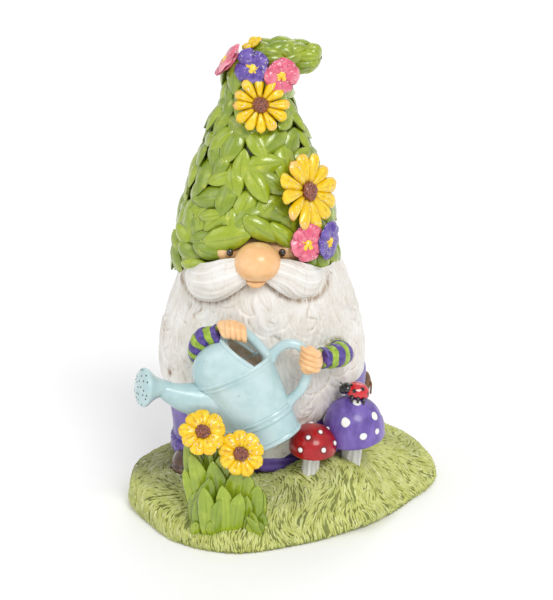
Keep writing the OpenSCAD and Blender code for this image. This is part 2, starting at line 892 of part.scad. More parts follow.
// Domed shell of the ladybird, on a peg let into the cap
module ladybird_shell() color("red") difference() {
    union() {
        translate(ladybird_at) rotate([10, 8, 0]) dome(6.8, 7);
        ladybird_peg(0);
    }
    difference() {
        purple_cap_form();
        ladybird_peg(glue_gap);
    }
    translate(ladybird_at + [-5.8, -2.4, 2.6]) sphere(3.1 + glue_gap);
}

module ladybird_head() color("black") difference() {
    translate(ladybird_at + [-5.8, -2.4, 2.6]) sphere(3.1);
    purple_cap_form();
}

ground_base();
coat_body();
coat_hem();
boot(-1);  // boot_right
boot(1);  // boot_left
hip_pouch();
beard();
head();
eyes();
nose();
lower_lip();
moustache(-1);  // moustache_right
moustache(1);  // moustache_left
hat_cone();
hat_tip();
hat_brim_leaves();
hat_lower_leaves();
hat_middle_leaves();
hat_upper_leaves();
hat_tip_leaves();
sunflower_upper_petals();
sunflower_upper_centre();
sunflower_side_petals();
sunflower_side_centre();
pansy(purple_top_at, pansy_r, "mediumpurple");  // pansy_purple_top
pansy(pink_top_at, pansy_r + 1, "hotpink");  // pansy_pink_top
pansy(pink_side_at, pansy_r + 1, "deeppink");  // blossom_pink_side
blossom_yellow_crown();
pansy(pink_brim_at, pansy_r + 0.6, "hotpink");  // pansy_pink_brim
pansy(purple_brim_at, pansy_r + 1.2, "purple");  // pansy_purple_brim
pansy_centres();
sleeve_right();
sleeve_left();
hand_right();
hand_left();
can_body();
can_hood();
can_spout();
can_rose();
can_top_handle();
can_side_handle();
bed_leaves();
bed_stems();
bed_flower_high_petals();
bed_flower_high_centre();
bed_flower_low_petals();
bed_flower_low_centre();
red_mushroom_cap();
red_mushroom_stalk();
purple_mushroom_cap();
purple_mushroom_stalk();
ladybird_shell();
ladybird_head();
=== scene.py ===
"""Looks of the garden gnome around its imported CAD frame: hand painted resin castings.

Shapes are worked out in millimetres and turned into metres when a piece is made.
+Z is up and the gnome faces -Y, so its own right hand is on the -X side.
"""
import math

import bpy
import numpy as np
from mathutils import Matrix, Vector


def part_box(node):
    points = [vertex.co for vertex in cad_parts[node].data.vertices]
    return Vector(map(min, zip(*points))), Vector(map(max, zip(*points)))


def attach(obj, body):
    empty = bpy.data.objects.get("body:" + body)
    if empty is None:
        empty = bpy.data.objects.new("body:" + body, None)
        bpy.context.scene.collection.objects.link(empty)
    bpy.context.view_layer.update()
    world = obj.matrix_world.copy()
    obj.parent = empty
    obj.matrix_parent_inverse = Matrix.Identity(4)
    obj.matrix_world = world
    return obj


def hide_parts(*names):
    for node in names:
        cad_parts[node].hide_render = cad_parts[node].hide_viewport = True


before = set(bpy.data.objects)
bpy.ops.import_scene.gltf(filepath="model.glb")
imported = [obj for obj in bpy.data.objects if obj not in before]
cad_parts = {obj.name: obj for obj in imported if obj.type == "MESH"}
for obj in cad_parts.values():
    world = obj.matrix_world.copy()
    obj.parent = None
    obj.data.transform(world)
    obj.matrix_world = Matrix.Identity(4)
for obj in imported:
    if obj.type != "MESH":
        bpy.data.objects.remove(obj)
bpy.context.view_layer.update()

MM = 0.001
TAU = 2 * math.pi


# ---- places shared with part.scad, in millimetres ----------------------------

GNOME = np.array([-12.3, 14.0])         # axis of the body
HAT = np.array([-15.6, 15.0])           # axis of the hat
BODY_DEPTH = 0.8                        # depth of the body, as a share of its width
HAT_R, HAT_DEPTH = 43.0, 0.88           # radius of the brim and depth as a share of width
# Top of the mound at the gnome, its rise per millimetre towards +X, and the coat's seat
MOUND_TOP, MOUND_RISE, SEAT_Z = 25.5, 0.07, 22.5
RIM_AT = np.array([-28.0, -46.0, 98.5])  # middle of the can's rim
CAN_LEAN = math.radians(25)


# ---- numbers and noise ---------------------------------------------------------


def unit(v):
    """Vectors along the last axis, brought to length 1."""
    return v / np.maximum(np.linalg.norm(v, axis=-1, keepdims=True), 1e-9)


def smooth(a, b, x):
    """0 below a, 1 above b, and a smooth step between them."""
    t = np.clip((np.asarray(x, float) - a) / (b - a), 0, 1)
    return t * t * (3 - 2 * t)


def bell(x, width):
    """1 at 0, falling off smoothly over the width on both sides."""
    return np.exp(-(x / width) ** 2)


def lookup(x, rows):
    """The second value of rows at x, where x is the first value."""
    return np.interp(x, [r[0] for r in rows], [r[1] for r in rows])


def lattice(i, j, k, seed):
    """One repeatable number from 0 to 1 for each whole-numbered place."""
    n = (i * 374761393 + j * 668265263 + k * 2147483647 + seed * 1274126177) & 0xFFFFFFFF
    n = ((n ^ (n >> 13)) * 1274126177) & 0xFFFFFFFF
    n = ((n ^ (n >> 16)) * 2246822519) & 0xFFFFFFFF
    return ((n ^ (n >> 15)) & 0xFFFF) / 65535.0


def noise(p, size, seed=0):
    """Smooth noise from -1 to 1 at points p, with bumps of the given size."""
    q = np.asarray(p, float) / size + 1000.0
    base = np.floor(q).astype(np.int64)
    f = q - base
    f = f * f * f * (f * (f * 6 - 15) + 10)
    total = 0
    for dx in (0, 1):
        for dy in (0, 1):
            for dz in (0, 1):
                weight = (np.where(dx, f[..., 0], 1 - f[..., 0])
                          * np.where(dy, f[..., 1], 1 - f[..., 1])
                          * np.where(dz, f[..., 2], 1 - f[..., 2]))
                total = total + weight * lattice(
                    base[..., 0] + dx, base[..., 1] + dy, base[..., 2] + dz, seed)
    return total * 2 - 1


def layered(p, size, octaves=3, seed=0):
    """Noise with finer and weaker noise on top of it."""
    return sum(noise(p, size / 2 ** k, seed + k) / 2 ** k for k in range(octaves))


def spline(points, count, closed=False):
    """count points along a smooth curve through the given points, evenly spread."""
    p = np.asarray(points, float)
    n = len(p)
    spans = n if closed else n - 1
    t = np.linspace(0, spans, spans * 16 + 1)
    i = np.minimum(t.astype(int), spans - 1)
    f = (t - i)[:, None]

    def at(k):
        return p[k % n] if closed else p[np.clip(k, 0, n - 1)]

    a, b, c, d = at(i - 1), at(i), at(i + 1), at(i + 2)
    if not closed:
        a = np.where((i == 0)[:, None], 2 * b - c, a)
        d = np.where((i == spans - 1)[:, None], 2 * c - b, d)
    fine = 0.5 * (2 * b + (c - a) * f + (2 * a - 5 * b + 4 * c - d) * f ** 2
                  + (3 * b - a - 3 * c + d) * f ** 3)
    step = np.linalg.norm(np.diff(fine, axis=0), axis=1)
    run = np.concatenate([[0], np.cumsum(step)])
    wanted = np.linspace(0, run[-1], count, endpoint=not closed)
    return np.stack([np.interp(wanted, run, fine[:, k]) for k in range(p.shape[1])], 1)


def turned(angle, axis):
    """Matrix that turns by angle about axis 0, 1 or 2."""
    c, s = math.cos(angle), math.sin(angle)
    m = np.eye(3)
    j, k = [(1, 2), (2, 0), (0, 1)][axis]
    m[j, j], m[j, k], m[k, j], m[k, k] = c, -s, s, c
    return m


def angles(sides, rows=1):
    """Angle of each point round one or more rings."""
    return np.tile(np.arange(sides) / sides * TAU, rows)


def capped(values):
    """Values at the points of a skin's rings, with a 0 for the middle of each end."""
    return np.concatenate([values, [0, 0]])


# ---- shapes --------------------------------------------------------------------


def flipped(faces):
    """The same faces seen from their other side."""
    turned_over = faces[:, ::-1]
    triangle = faces[:, 2] == faces[:, 3]
    return np.where(triangle[:, None], np.roll(turned_over, -2, axis=1), turned_over)


class Shape:
    """Points, four-cornered faces and named values at the points.

    A face whose last two corners are the same is a triangle.
    """

    def __init__(self, points, faces, **values):
        self.points = np.asarray(points, float).reshape(-1, 3)
        self.faces = np.asarray(faces, int).reshape(-1, 4)
        self.values = {}
        self.set(**values)

    def placed(self, matrix, at=(0, 0, 0)):
        """A copy turned by the matrix and moved to a place."""
        out = Shape(self.points @ np.asarray(matrix).T + np.asarray(at), self.faces)
        out.values = self.values
        if np.linalg.det(matrix) < 0:
            out.faces = flipped(out.faces)
        return out

    def set(self, **values):
        """Gives named values to the points."""
        for k, v in values.items():
            self.values[k] = np.broadcast_to(np.asarray(v, float), len(self.points)).copy()
        return self

    def normals(self):
        """Rough outward direction at each point."""
        p, f = self.points, self.faces
        n = np.cross(p[f[:, 2]] - p[f[:, 0]], p[f[:, 3]] - p[f[:, 1]])
        out = np.zeros_like(p)
        for k in range(4):
            np.add.at(out, f[:, k], n)
        return unit(out)

    def pushed(self, amount):
        """Moves every point outwards by its amount."""
        self.points = self.points + self.normals() * np.asarray(amount).reshape(-1, 1)
        return self


def join(shapes):
    """One shape out of several; a value that one of them lacks is 0 there."""
    names = {n for s in shapes for n in s.values}
    count = np.cumsum([0] + [len(s.points) for s in shapes])
    out = Shape(np.concatenate([s.points for s in shapes]),
                np.concatenate([s.faces + c for s, c in zip(shapes, count)]))
    out.values = {n: np.concatenate([s.values.get(n, np.zeros(len(s.points))) for s in shapes])
                  for n in names}
    return out


def grid_faces(rows, columns, wrap=False):
    """Faces of a net of points; wrap joins its last column to its first."""
    i, j = np.meshgrid(np.arange(rows - 1), np.arange(columns if wrap else columns - 1),
                       indexing="ij")
    k = (j + 1) % columns
    a, b, c, d = i * columns + j, i * columns + k, (i + 1) * columns + k, (i + 1) * columns + j
    return np.stack([a, b, c, d], -1).reshape(-1, 4)


def skin(rings, caps=True, **values):
    """Skin over a stack of rings of points, closed by a fan at both ends."""
    rings = np.asarray(rings, float)
    rows, columns = rings.shape[:2]
    points, faces = rings.reshape(-1, 3), grid_faces(rows, columns, True)
    if caps:
        ends = [rings[0].mean(0), rings[-1].mean(0)]
        first, last = rows * columns, rows * columns + 1
        j = np.arange(columns)
        k = (j + 1) % columns
        top = (rows - 1) * columns
        fans = [np.stack([k, j, j * 0 + first, j * 0 + first], 1),
                np.stack([top + j, top + k, j * 0 + last, j * 0 + last], 1)]
        points, faces = np.concatenate([points, ends]), np.concatenate([faces] + fans)
    out = Shape(points, faces)
    for name, v in values.items():
        v = np.broadcast_to(np.asarray(v, float), (rows, columns))
        extra = [v[0].mean(), v[-1].mean()] if caps else []
        out.values[name] = np.concatenate([v.ravel(), extra])
    return out


def sweep(path, wide, thick, side, sides):
    """Skin along a path: wide and thick are half sizes, and side is the way that wide runs."""
    path = np.asarray(path, float)
    along = unit(np.gradient(path, axis=0))
    up = unit(np.cross(along, np.broadcast_to(np.asarray(side, float), path.shape)))
    out = unit(np.cross(up, along))
    a = angles(sides)
    w = np.broadcast_to(wide, len(path))[:, None, None]
    t = np.broadcast_to(thick, len(path))[:, None, None]
    rings = (path[:, None] + out[:, None] * w * np.cos(a)[None, :, None]
             + up[:, None] * t * np.sin(a)[None, :, None])
    return skin(rings)


def loft(rows, sides, count=None):
    """Oval skin through rows of [z, half width, half depth, centre x, centre y]."""
    rows = np.asarray(rows, float)
    if count:
        rows = spline(rows, count)
    a = angles(sides)
    rings = np.stack([rows[:, 3:4] + rows[:, 1:2] * np.cos(a),
                      rows[:, 4:5] + rows[:, 2:3] * np.sin(a),
                      np.broadcast_to(rows[:, :1], (len(rows), sides))], -1)
    return skin(rings)


def lathe(profile, sides):
    """Surface turned about Z from [radius, z] points."""
    profile = np.asarray(profile, float)
    a = angles(sides)
    r, z = profile[:, :1], profile[:, 1:2]
    return skin(np.stack([r * np.cos(a), r * np.sin(a),
                          np.broadcast_to(z, (len(profile), sides))], -1))


def ball(r, high, sides, rows, gap=0.05, power=1.0):
    """Egg of half height high, with a small flat at both ends."""
    q = np.linspace(gap, math.pi - gap, rows)
    return lathe(np.stack([r * np.sin(q) ** power, -high * np.cos(q)], 1), sides)


# ---- materials -----------------------------------------------------------------


def rgb(text):
    """Linear colour of a hexadecimal one."""
    c = [int(text[i:i + 2], 16) / 255 for i in (0, 2, 4)]
    return [((v + 0.055) / 1.055) ** 2.4 if v > 0.04045 else v / 12.92 for v in c] + [1.0]


class Paint:
    """A painted resin finish, built from nodes in object coordinates, which are metres."""

    def __init__(self, name, rough, coat=0.0):
        self.material = bpy.data.materials.new(name)
        self.material.use_nodes = True
        self.tree = self.material.node_tree
        self.shader = self.tree.nodes["Principled BSDF"]
        self.shader.inputs["Roughness"].default_value = rough
        self.shader.inputs["Coat Weight"].default_value = coat
        self.shader.inputs["Coat Roughness"].default_value = 0.12
        self.place = self.node("ShaderNodeTexCoord").outputs["Object"]

    def node(self, kind, inputs=(), **settings):
        """New node whose inputs are each linked to a socket or set to a value."""
        n = self.tree.nodes.new(kind)
        for k, v in settings.items():
            setattr(n, k, v)
        for k, v in dict(inputs).items():
            if isinstance(v, bpy.types.NodeSocket):
                self.tree.links.new(v, n.inputs[k])
            else:
                n.inputs[k].default_value = v
        return n

    def value(self, name):
        """The named value that the shape holds at its points."""
        return self.node("ShaderNodeAttribute", attribute_name=name).outputs["Fac"]

    def stretched(self, x, y, z):
        """Coordinates squeezed along the axes, so that noise made with them is drawn out."""
        return self.node("ShaderNodeMapping", {"Vector": self.place, "Scale": (x, y, z)}).outputs[0]

    def noise(self, size, detail=3, place=None, distort=0.0):
        """Noise with bumps of the given size in millimetres."""
        return self.node("ShaderNodeTexNoise", {
            "Vector": place or self.place, "Scale": 1000 / size, "Detail": detail,
            "Roughness": 0.55, "Distortion": distort}).outputs["Fac"]

    def specks(self, size, reach=0.25):
        """1 in the middle of scattered spots that are size millimetres apart."""
        far = self.node("ShaderNodeTexVoronoi", {"Vector": self.place, "Scale": 1000 / size}
                        ).outputs["Distance"]
        return self.ramp(far, reach, reach * 0.6)

    def ramp(self, x, low, high, a=0.0, b=1.0):
        """x brought from low..high to a..b, smoothly and within those ends."""
        n = self.node("ShaderNodeMapRange", {"Value": x, "From Min": low, "From Max": high,
                                             "To Min": a, "To Max": b},
                      interpolation_type="SMOOTHSTEP")
        return n.outputs[0]

    def times(self, a, b):
        return self.node("ShaderNodeMath", {0: a, 1: b}, operation="MULTIPLY").outputs[0]

    def mix(self, share, a, b):
        """Colour a where share is 0 and b where it is 1; both may be hexadecimal."""
        a, b = [rgb(c) if isinstance(c, str) else c for c in (a, b)]
        return self.node("ShaderNodeMix", {0: share, 6: a, 7: b}, data_type="RGBA").outputs[2]

    def colour(self, socket):
        self.tree.links.new(socket, self.shader.inputs["Base Color"])
        return self

    def gloss(self, x, low, high, a, b):
        """Roughness a where x is low and b where it is high."""
        self.tree.links.new(self.ramp(x, low, high, a, b), self.shader.inputs["Roughness"])
        return self

    def bumps(self, *layers):
        """Small relief from (height, depth in millimetres) layers."""
        normal = None
        for height, depth in layers:
            inputs = {"Height": height, "Distance": depth * MM, "Strength": 1.0}
            if normal is not None:
                inputs["Normal"] = normal
            normal = self.node("ShaderNodeBump", inputs).outputs[0]
        self.tree.links.new(normal, self.shader.inputs["Normal"])
        return self


def piece(name, shape, paint, slot, *nodes):
    """Makes a Blender object of a shape, riding on the body in place of the CAD nodes."""
    mesh = bpy.data.meshes.new(name)
    corners = np.where((shape.faces[:, 3] == shape.faces[:, 2])[:, None] & (np.arange(4) == 3),
                       -1, shape.faces)
    sizes = (corners >= 0).sum(1)
    mesh.vertices.add(len(shape.points))
    mesh.vertices.foreach_set("co", (shape.points * MM).ravel())
    mesh.loops.add(int(sizes.sum()))
    mesh.loops.foreach_set("vertex_index", corners[corners >= 0])
    mesh.polygons.add(len(sizes))
    mesh.polygons.foreach_set("loop_start", np.concatenate([[0], np.cumsum(sizes)[:-1]]))
    mesh.update(calc_edges=True)
    mesh.validate()
    mesh.shade_smooth()
    for k, v in shape.values.items():
        mesh.attributes.new(k, "FLOAT", "POINT").data.foreach_set("value", v)
    obj = bpy.data.objects.new(name, mesh)
    bpy.context.scene.collection.objects.link(obj)
    mesh.materials.append(paint.material)
    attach(obj, "root")
    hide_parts(*nodes)
    return obj


# ---- studio ----------------------------------------------------------------------


# Camera of the photograph: degrees above the floor, metres away, lens in mm and aim in metres
CAMERA_RISE, CAMERA_DISTANCE, CAMERA_LENS = 19, 1.3, 134.22
CAMERA_AIM = np.array([-0.0038, 0.005, 0.1221])
# Each lamp: direction that it shines from, width in degrees and strength
LAMPS = {"key": ((0.4, -0.9, 0.95), 26, 1.42), "fill": ((-0.9, -0.45, 0.6), 40, 0.4),
         "back": ((0.2, 0.9, 0.7), 40, 0.45)}
SKY_STRENGTH, FLOOR_HALF = 0.66, 60.0


def studio():
    """Camera at the photograph's height and distance, soft lights and a pale floor."""
    elevation = math.radians(CAMERA_RISE)
    camera = bpy.data.cameras.new("camera")
    camera.lens, camera.sensor_width = CAMERA_LENS, 36
    eye = bpy.data.objects.new("camera", camera)
    way = np.array([0, -math.cos(elevation), math.sin(elevation)])
    eye.location = CAMERA_AIM + CAMERA_DISTANCE * way
    eye.rotation_euler = (math.pi / 2 - elevation, 0, 0)
    bpy.context.scene.collection.objects.link(eye)
    bpy.context.scene.camera = eye
    bpy.context.scene.view_settings.view_transform = "Standard"

    world = bpy.data.worlds.new("studio")
    world.use_nodes = True
    sky = world.node_tree.nodes["Background"]
    sky.inputs["Color"].default_value = (1, 1, 1, 1)
    sky.inputs["Strength"].default_value = SKY_STRENGTH
    bpy.context.scene.world = world
    for name, (source, wide, strength) in LAMPS.items():
        lamp = bpy.data.lights.new(name, "SUN")
        lamp.angle, lamp.energy = math.radians(wide), strength
        obj = bpy.data.objects.new(name, lamp)
        obj.rotation_euler = Vector(source).to_track_quat("Z", "Y").to_euler()
        bpy.context.scene.collection.objects.link(obj)

    mesh = bpy.data.meshes.new("floor")
    corners = [(x * FLOOR_HALF, y * FLOOR_HALF, 0) for x, y in ((-1, -1), (1, -1), (1, 1), (-1, 1))]
    mesh.from_pydata(corners, [], [(0, 1, 2, 3)])
    floor = bpy.data.objects.new("floor", mesh)
    bpy.context.scene.collection.objects.link(floor)
    paint = Paint("floor_paper", rough=0.9)
    paint.colour(paint.mix(paint.noise(300), "FFFFFF", "FAFAFA"))
    mesh.materials.append(paint.material)


# ---- mound -----------------------------------------------------------------------

# Outline of the mound with the height of its wall, as in part.scad
MOUND_EDGE = [
    [-90, -8, 22], [-88, -20, 21], [-76.5, -43, 16], [-60, -66, 9], [-30, -80, 6],
    [0, -73, 6], [30, -57, 7], [57, -33, 8], [76, -7, 9], [90, 16, 11], [92, 38, 13],
    [76, 64, 17], [44, 80, 20], [0, 79, 21], [-40, 64, 21], [-70.5, 33, 21], [-85, 11, 22]]
# Steps inwards: share of the outline, of the wall and of the top
MOUND_STEPS = [[0.975, 0, 0], [1, 0.2, 0], [0.985, 0.7, 0], [0.95, 1, 0.04], [0.87, 1, 0.4],
               [0.77, 1, 0.76], [0.66, 1, 0.94], [0.5, 1, 1], [0.36, 1, 1]]


# Grass banked up round the mushrooms, before the bed and at the boot: place, reach along x
# and y, and height
BANKS = [(30, -33, 26, 19, 15.5), (-32, -75, 26, 4.5, 2.6), (-56, -22, 12, 12, 2.6)]
GRASS_STROKES = 9500
COVERED = [46, 36]                      # half sizes of the ground under the coat


class Net:
    """A net of points that can be read between its lines; its columns run in a ring."""

    def __init__(self, points):
        self.points = points
        self.normals = unit(np.cross(np.roll(points, -1, 1) - np.roll(points, 1, 1),
                                     np.gradient(points, axis=0)))
        self.row_mm = np.linalg.norm(np.gradient(points, axis=0), axis=-1)
        self.column_mm = np.linalg.norm(np.roll(points, -1, 1) - points, axis=-1)

    def read(self, what, i, j):
        """Value of a field at row i and column j, which need not be whole."""
        rows, columns = what.shape[:2]
        i = np.clip(i, 0, rows - 1.001)
        a, b = i.astype(int), np.floor(j).astype(int)
        fi, fj = i - a, j - b
        if what.ndim == 3:
            fi, fj = fi[..., None], fj[..., None]
        b0, b1 = b % columns, (b + 1) % columns
        return ((what[a, b0] * (1 - fj) + what[a, b1] * fj) * (1 - fi)
                + (what[a + 1, b0] * (1 - fj) + what[a + 1, b1] * fj) * fi)

    def strokes(self, i, j, heading, bend, length, half, rise):
        """Small tapered ridges laid on the net, as one shape, with each one's number."""
        rows = 3
        steps = rows + 1
        paths, normals = [], []
        for k in range(steps + 1):
            paths.append(self.read(self.points, i, j))
            normals.append(self.read(self.normals, i, j))
            turn = heading + bend * k / steps
            step = length / steps
            i = i - np.cos(turn) * step / self.read(self.row_mm, i, j)
            j = j + np.sin(turn) * step / self.read(self.column_mm, i, j)
        path, up = np.stack(paths, 1), unit(np.stack(normals, 1))
        along = unit(np.gradient(path, axis=1))
        side = unit(np.cross(along, up))
        t = np.linspace(0, 1, steps + 1)
        w = (half[:, None] * np.sin(math.pi * t ** 0.7))[..., None]
        h = (rise[:, None] * (0.25 + 0.75 * np.sin(math.pi * t ** 0.8)))[..., None]
        ring = np.stack([path + up * h, path - side * w - up * 0.5, path + side * w - up * 0.5], 2)
        inner = ring[:, 1:-1]
        ends = np.stack([path[:, 0] - up[:, 0] * 0.4, path[:, -1] + up[:, -1] * h[:, -1]], 1)
        count = len(i)
        points = np.concatenate([inner.reshape(count, -1, 3), ends], 1)
        net = grid_faces(rows, 3, True)
        first, last, top = rows * 3, rows * 3 + 1, (rows - 1) * 3
        fans = [[(c + 1) % 3, c, first, first] for c in range(3)]
        fans += [[top + c, top + (c + 1) % 3, last, last] for c in range(3)]
        faces = flipped(np.concatenate([net, fans]))
        each = points.shape[1]
        all_faces = faces[None] + (np.arange(count) * each)[:, None, None]
        crest = np.zeros((rows, 3))
        crest[:, 0] = 1
        crest = np.concatenate([crest.ravel(), [0, 0.7]])
        return Shape(points.reshape(-1, 3), all_faces.reshape(-1, 4),
                     crest=np.tile(crest, count)), np.repeat(np.arange(count), each)


def mound_net():
    """Lumpy wall and top of the mound, with the grass banked up in places."""
    edge = spline(MOUND_EDGE, 420, closed=True)
    steps = spline(MOUND_STEPS, 90)
    share, wall, top = [steps[:, k, None] for k in range(3)]
    x = GNOME[0] + share * (edge[None, :, 0] - GNOME[0])
    y = GNOME[1] + share * (edge[None, :, 1] - GNOME[1])
    high = MOUND_TOP + MOUND_RISE * share * (edge[None, :, 0] - GNOME[0])
    z = edge[None, :, 2] * np.clip(wall, 0, 1) * (1 - top) + high * top
    points = np.stack([x, y, np.maximum(z, 0)], -1)
    net = Net(points)
    lumps = 0.7 * layered(points, 22, 3, 4) + 0.35 * noise(points, 5, 9) - 0.4
    free = smooth(0.5, 5, points[..., 2]) * smooth(0.3, 0.45, share)
    lumps = np.minimum(lumps, 0.8)
    for x, y, wide, deep, high in BANKS:
        far = ((points[..., 0] - x) / wide) ** 2 + ((points[..., 1] - y) / deep) ** 2
        lumps = lumps + high * np.exp(-far)
    net.points = points + net.normals * (lumps * free)[..., None]
    net.points[..., 2] = np.maximum(net.points[..., 2], 0)
    return net


def olive(points):
    """How far the grass is washed with dark olive: on the left plateau and in patches."""
    left = smooth(-50, -66, points[:, 0]) * smooth(17, 22, points[:, 2])
    patch = smooth(0.05, 0.6, noise(points * [1, 1, 2], 24, 31))
    return np.clip(left * 0.8 + patch * 0.45 * smooth(12, 20, points[:, 2]), 0, 1)


def ground():
    """The mound with its modelled strokes of grass."""
    rng, count = np.random.default_rng(11), GRASS_STROKES
    net = mound_net()
    base = skin(net.points, crest=0.0)
    area = net.row_mm * net.column_mm
    area[:4] = 0
    hidden = np.hypot(*((net.points[..., :2] - GNOME) / COVERED).transpose(2, 0, 1)) < 1
    area[hidden] = 0
    pick = rng.choice(area.size, count, p=(area / area.sum()).ravel())
    i, j = np.divmod(pick, area.shape[1])
    at = net.points[i, j]
    sweep_by = 1.5 * noise(at, 34, 5) + 0.9 * noise(at, 13, 6) + rng.normal(0, 0.16, count)
    slope = smooth(20, 8, at[:, 2])
    heading = sweep_by * (1 - 0.6 * slope) + 0.35 * slope
    bend = 1.1 * noise(at, 16, 7) + 0.4
    blades, which = net.strokes(
        i + rng.random(count), j + rng.random(count), heading, bend,
        rng.uniform(5.5, 11, count), rng.uniform(0.55, 1.05, count),
        rng.uniform(0.5, 1.3, count))
    tone = rng.random(count)
    blades.set(tone=tone[which])
    base.set(tone=0.3)
    shape = join([base, blades])
    shape.points[:, 2] = np.maximum(shape.points[:, 2], 0)
    shape.set(olive=olive(shape.points))
    piece("grass_mound", shape, grass_paint(), "grass_green", "ground_base")


def grass_paint():
    p = Paint("grass_paint", rough=0.55)
    crest, tone, wash = p.value("crest"), p.value("tone"), p.value("olive")
    patch = p.noise(9)
    light = p.mix(p.ramp(patch, 0.35, 0.65), "C4CA6C", "D8DD8A")
    light = p.mix(p.ramp(tone, 0.6, 1.0, 0, 0.6), light, "EAEDB6")
    light = p.mix(p.ramp(tone, 0.3, 0.0, 0, 0.5), light, "A3AD55")
    dark = p.mix(p.ramp(patch, 0.3, 0.7), "686F2E", "8A9140")
    green = p.mix(p.ramp(crest, 0.0, 0.6), dark, light)
    washed = p.mix(p.ramp(crest, 0.1, 0.9), "6E723C", "B4B87C")
    green = p.mix(wash, green, washed)
    dry = p.times(p.ramp(tone, 0.86, 0.95), p.ramp(crest, 0.5, 1.0))
    green = p.mix(p.times(dry, wash), green, "E9EAD9")
    green = p.mix(p.times(p.specks(7, 0.1), 0.7), green, "5A4A35")
    p.colour(green)
    return p.bumps((p.noise(1.1, 4), 0.25), (p.noise(0.35, 2), 0.08))


# ---- coat, boots and bag ----------------------------------------------------------

COAT_R = 56.5
# Outline of the coat: height and share of its radius
COAT_ROWS = [[SEAT_Z, 0.84], [28.6, 0.86], [30, 0.925], [45, 0.945], [60, 0.98], [78, 1],
             [95, 1], [108, 0.965], [120, 0.885], [130, 0.79], [138, 0.69]]


def angle_of(points):
    """Angle about the body's axis, 0 at the front and growing towards the gnome's left."""
    return np.arctan2(points[..., 0] - GNOME[0], -(points[..., 1] - GNOME[1]) / BODY_DEPTH)


def coat_loft(rows, count):
    """Oval skin about the body's axis from rows of [z, share of the coat's radius]."""
    return loft([[z, COAT_R * s, COAT_R * s * BODY_DEPTH, *GNOME] for z, s in rows], 240, count)


def coat():
    """Coat with folds that deepen downwards and a seam down its back."""
    shape = coat_loft(COAT_ROWS, 110)
    a, z = angle_of(shape.points), shape.points[:, 2]
    fall = smooth(118, 40, z)
    wave = a * 9 + 1.2 * np.sin(a * 2.3) + 0.5 * np.sin(z / 17)
    folds = np.sin(wave) * (0.3 + 1.1 * fall) + 0.4 * np.sin(a * 23 + z / 9) * fall
    seam = bell((np.abs(a) - math.pi) * 45, 0.5)
    free = smooth(27, 32, z) * smooth(138, 132, z)
    front = smooth(1.7, 2.1, np.abs(a))
    shape.set(hollow=np.clip(0.5 - folds / 3, 0, 1) + seam)
    bulge = 6.0 * bell(a - 1.8, 0.4) * smooth(40, 55, z) * smooth(92, 74, z)
    shape.pushed((folds * 0.8 * (0.35 + 0.65 * front) - 0.6 * seam + bulge) * free)
    piece("coat", shape, coat_paint(), "coat_purple", "coat_body")


def hem():
    """Gathered band round the foot of the coat, with a row of stitches."""
    rows = [[28.6, 0.92], [28.9, 0.955], [30.4, 0.973], [33, 0.965], [35.4, 0.972],
            [36.7, 0.958], [37, 0.93]]
    shape = coat_loft(rows, 26)
    a, z = angle_of(shape.points), shape.points[:, 2]
    folds = np.sin(a * 9 + 1.2 * np.sin(a * 2.3)) * 0.9 + 0.35 * np.sin(a * 31) + 0.25 * np.sin(a * 57)
    stitches = 0.25 * np.sin(a * 150) * bell(z - 35.2, 0.5)
    shape.pushed(folds * 0.55 + stitches)
    shape.set(hollow=np.clip(0.5 - folds / 2.2, 0, 1))
    piece("coat_hem_band", shape, coat_paint("hem_paint"), "coat_purple", "coat_hem")


def coat_paint(name="coat_paint"):
    p = Paint(name, rough=0.42, coat=0.25)
    brushed = p.noise(5, 4, p.stretched(1, 1, 0.18), distort=0.6)
    purple = p.mix(p.ramp(brushed, 0.3, 0.7), "503790", "6F53AC")
    purple = p.mix(p.ramp(p.noise(30), 0.45, 0.7, 0, 0.5), purple, "8A70C4")
    purple = p.mix(p.ramp(p.value("hollow"), 0.55, 1.1), purple, "33205E")
    p.colour(purple).gloss(brushed, 0.3, 0.7, 0.34, 0.5)
    return p.bumps((brushed, 0.35), (p.noise(0.5, 2), 0.06))


def boots():
    """Toes of both boots, each with a welt round its sole."""
    parts = []
    for side in (-1, 1):
        x = GNOME[0] + side * 43
        rows = [[20.5, 8.5, 12, x, -9], [21.2, 10.4, 14.6, x, -10], [22.6, 11, 15.4, x, -10.4],
                [23.4, 10.3, 14.6, x, -10], [26, 10.4, 14.6, x, -9.6], [29.5, 9, 12.4, x, -8],
                [32.5, 6.6, 9.4, x, -6], [34.4, 3, 5, x, -4]]
        toe = loft(rows, 56, 34)
        z = toe.points[:, 2]
        crease = bell(z - 27.4 + 0.12 * (toe.points[:, 1] + 20), 0.45)
        toe.set(crease=crease).pushed(0.25 * layered(toe.points, 6, 2, 3) - 0.3 * crease)
        parts.append(toe)
        welt = spline([[x + 11.2 * math.sin(t), -10.4 - 15.6 * math.cos(t), 22.9]
                       for t in np.linspace(-2, 2, 9)], 60)
        parts.append(sweep(welt, 0.5, 0.45, (0, 0, 1), 8).set(crease=0.4))
    p = Paint("boot_paint", rough=0.22, coat=0.6)
    brown = p.mix(p.ramp(p.noise(6, 4), 0.35, 0.7), "4A2A17", "6A4226")
    p.colour(p.mix(p.value("crease"), brown, "22130A"))
    p.bumps((p.noise(3, 4), 0.25), (p.noise(0.6), 0.05))
    piece("boots", join(parts), p, "boot_brown", "boot_right", "boot_left")


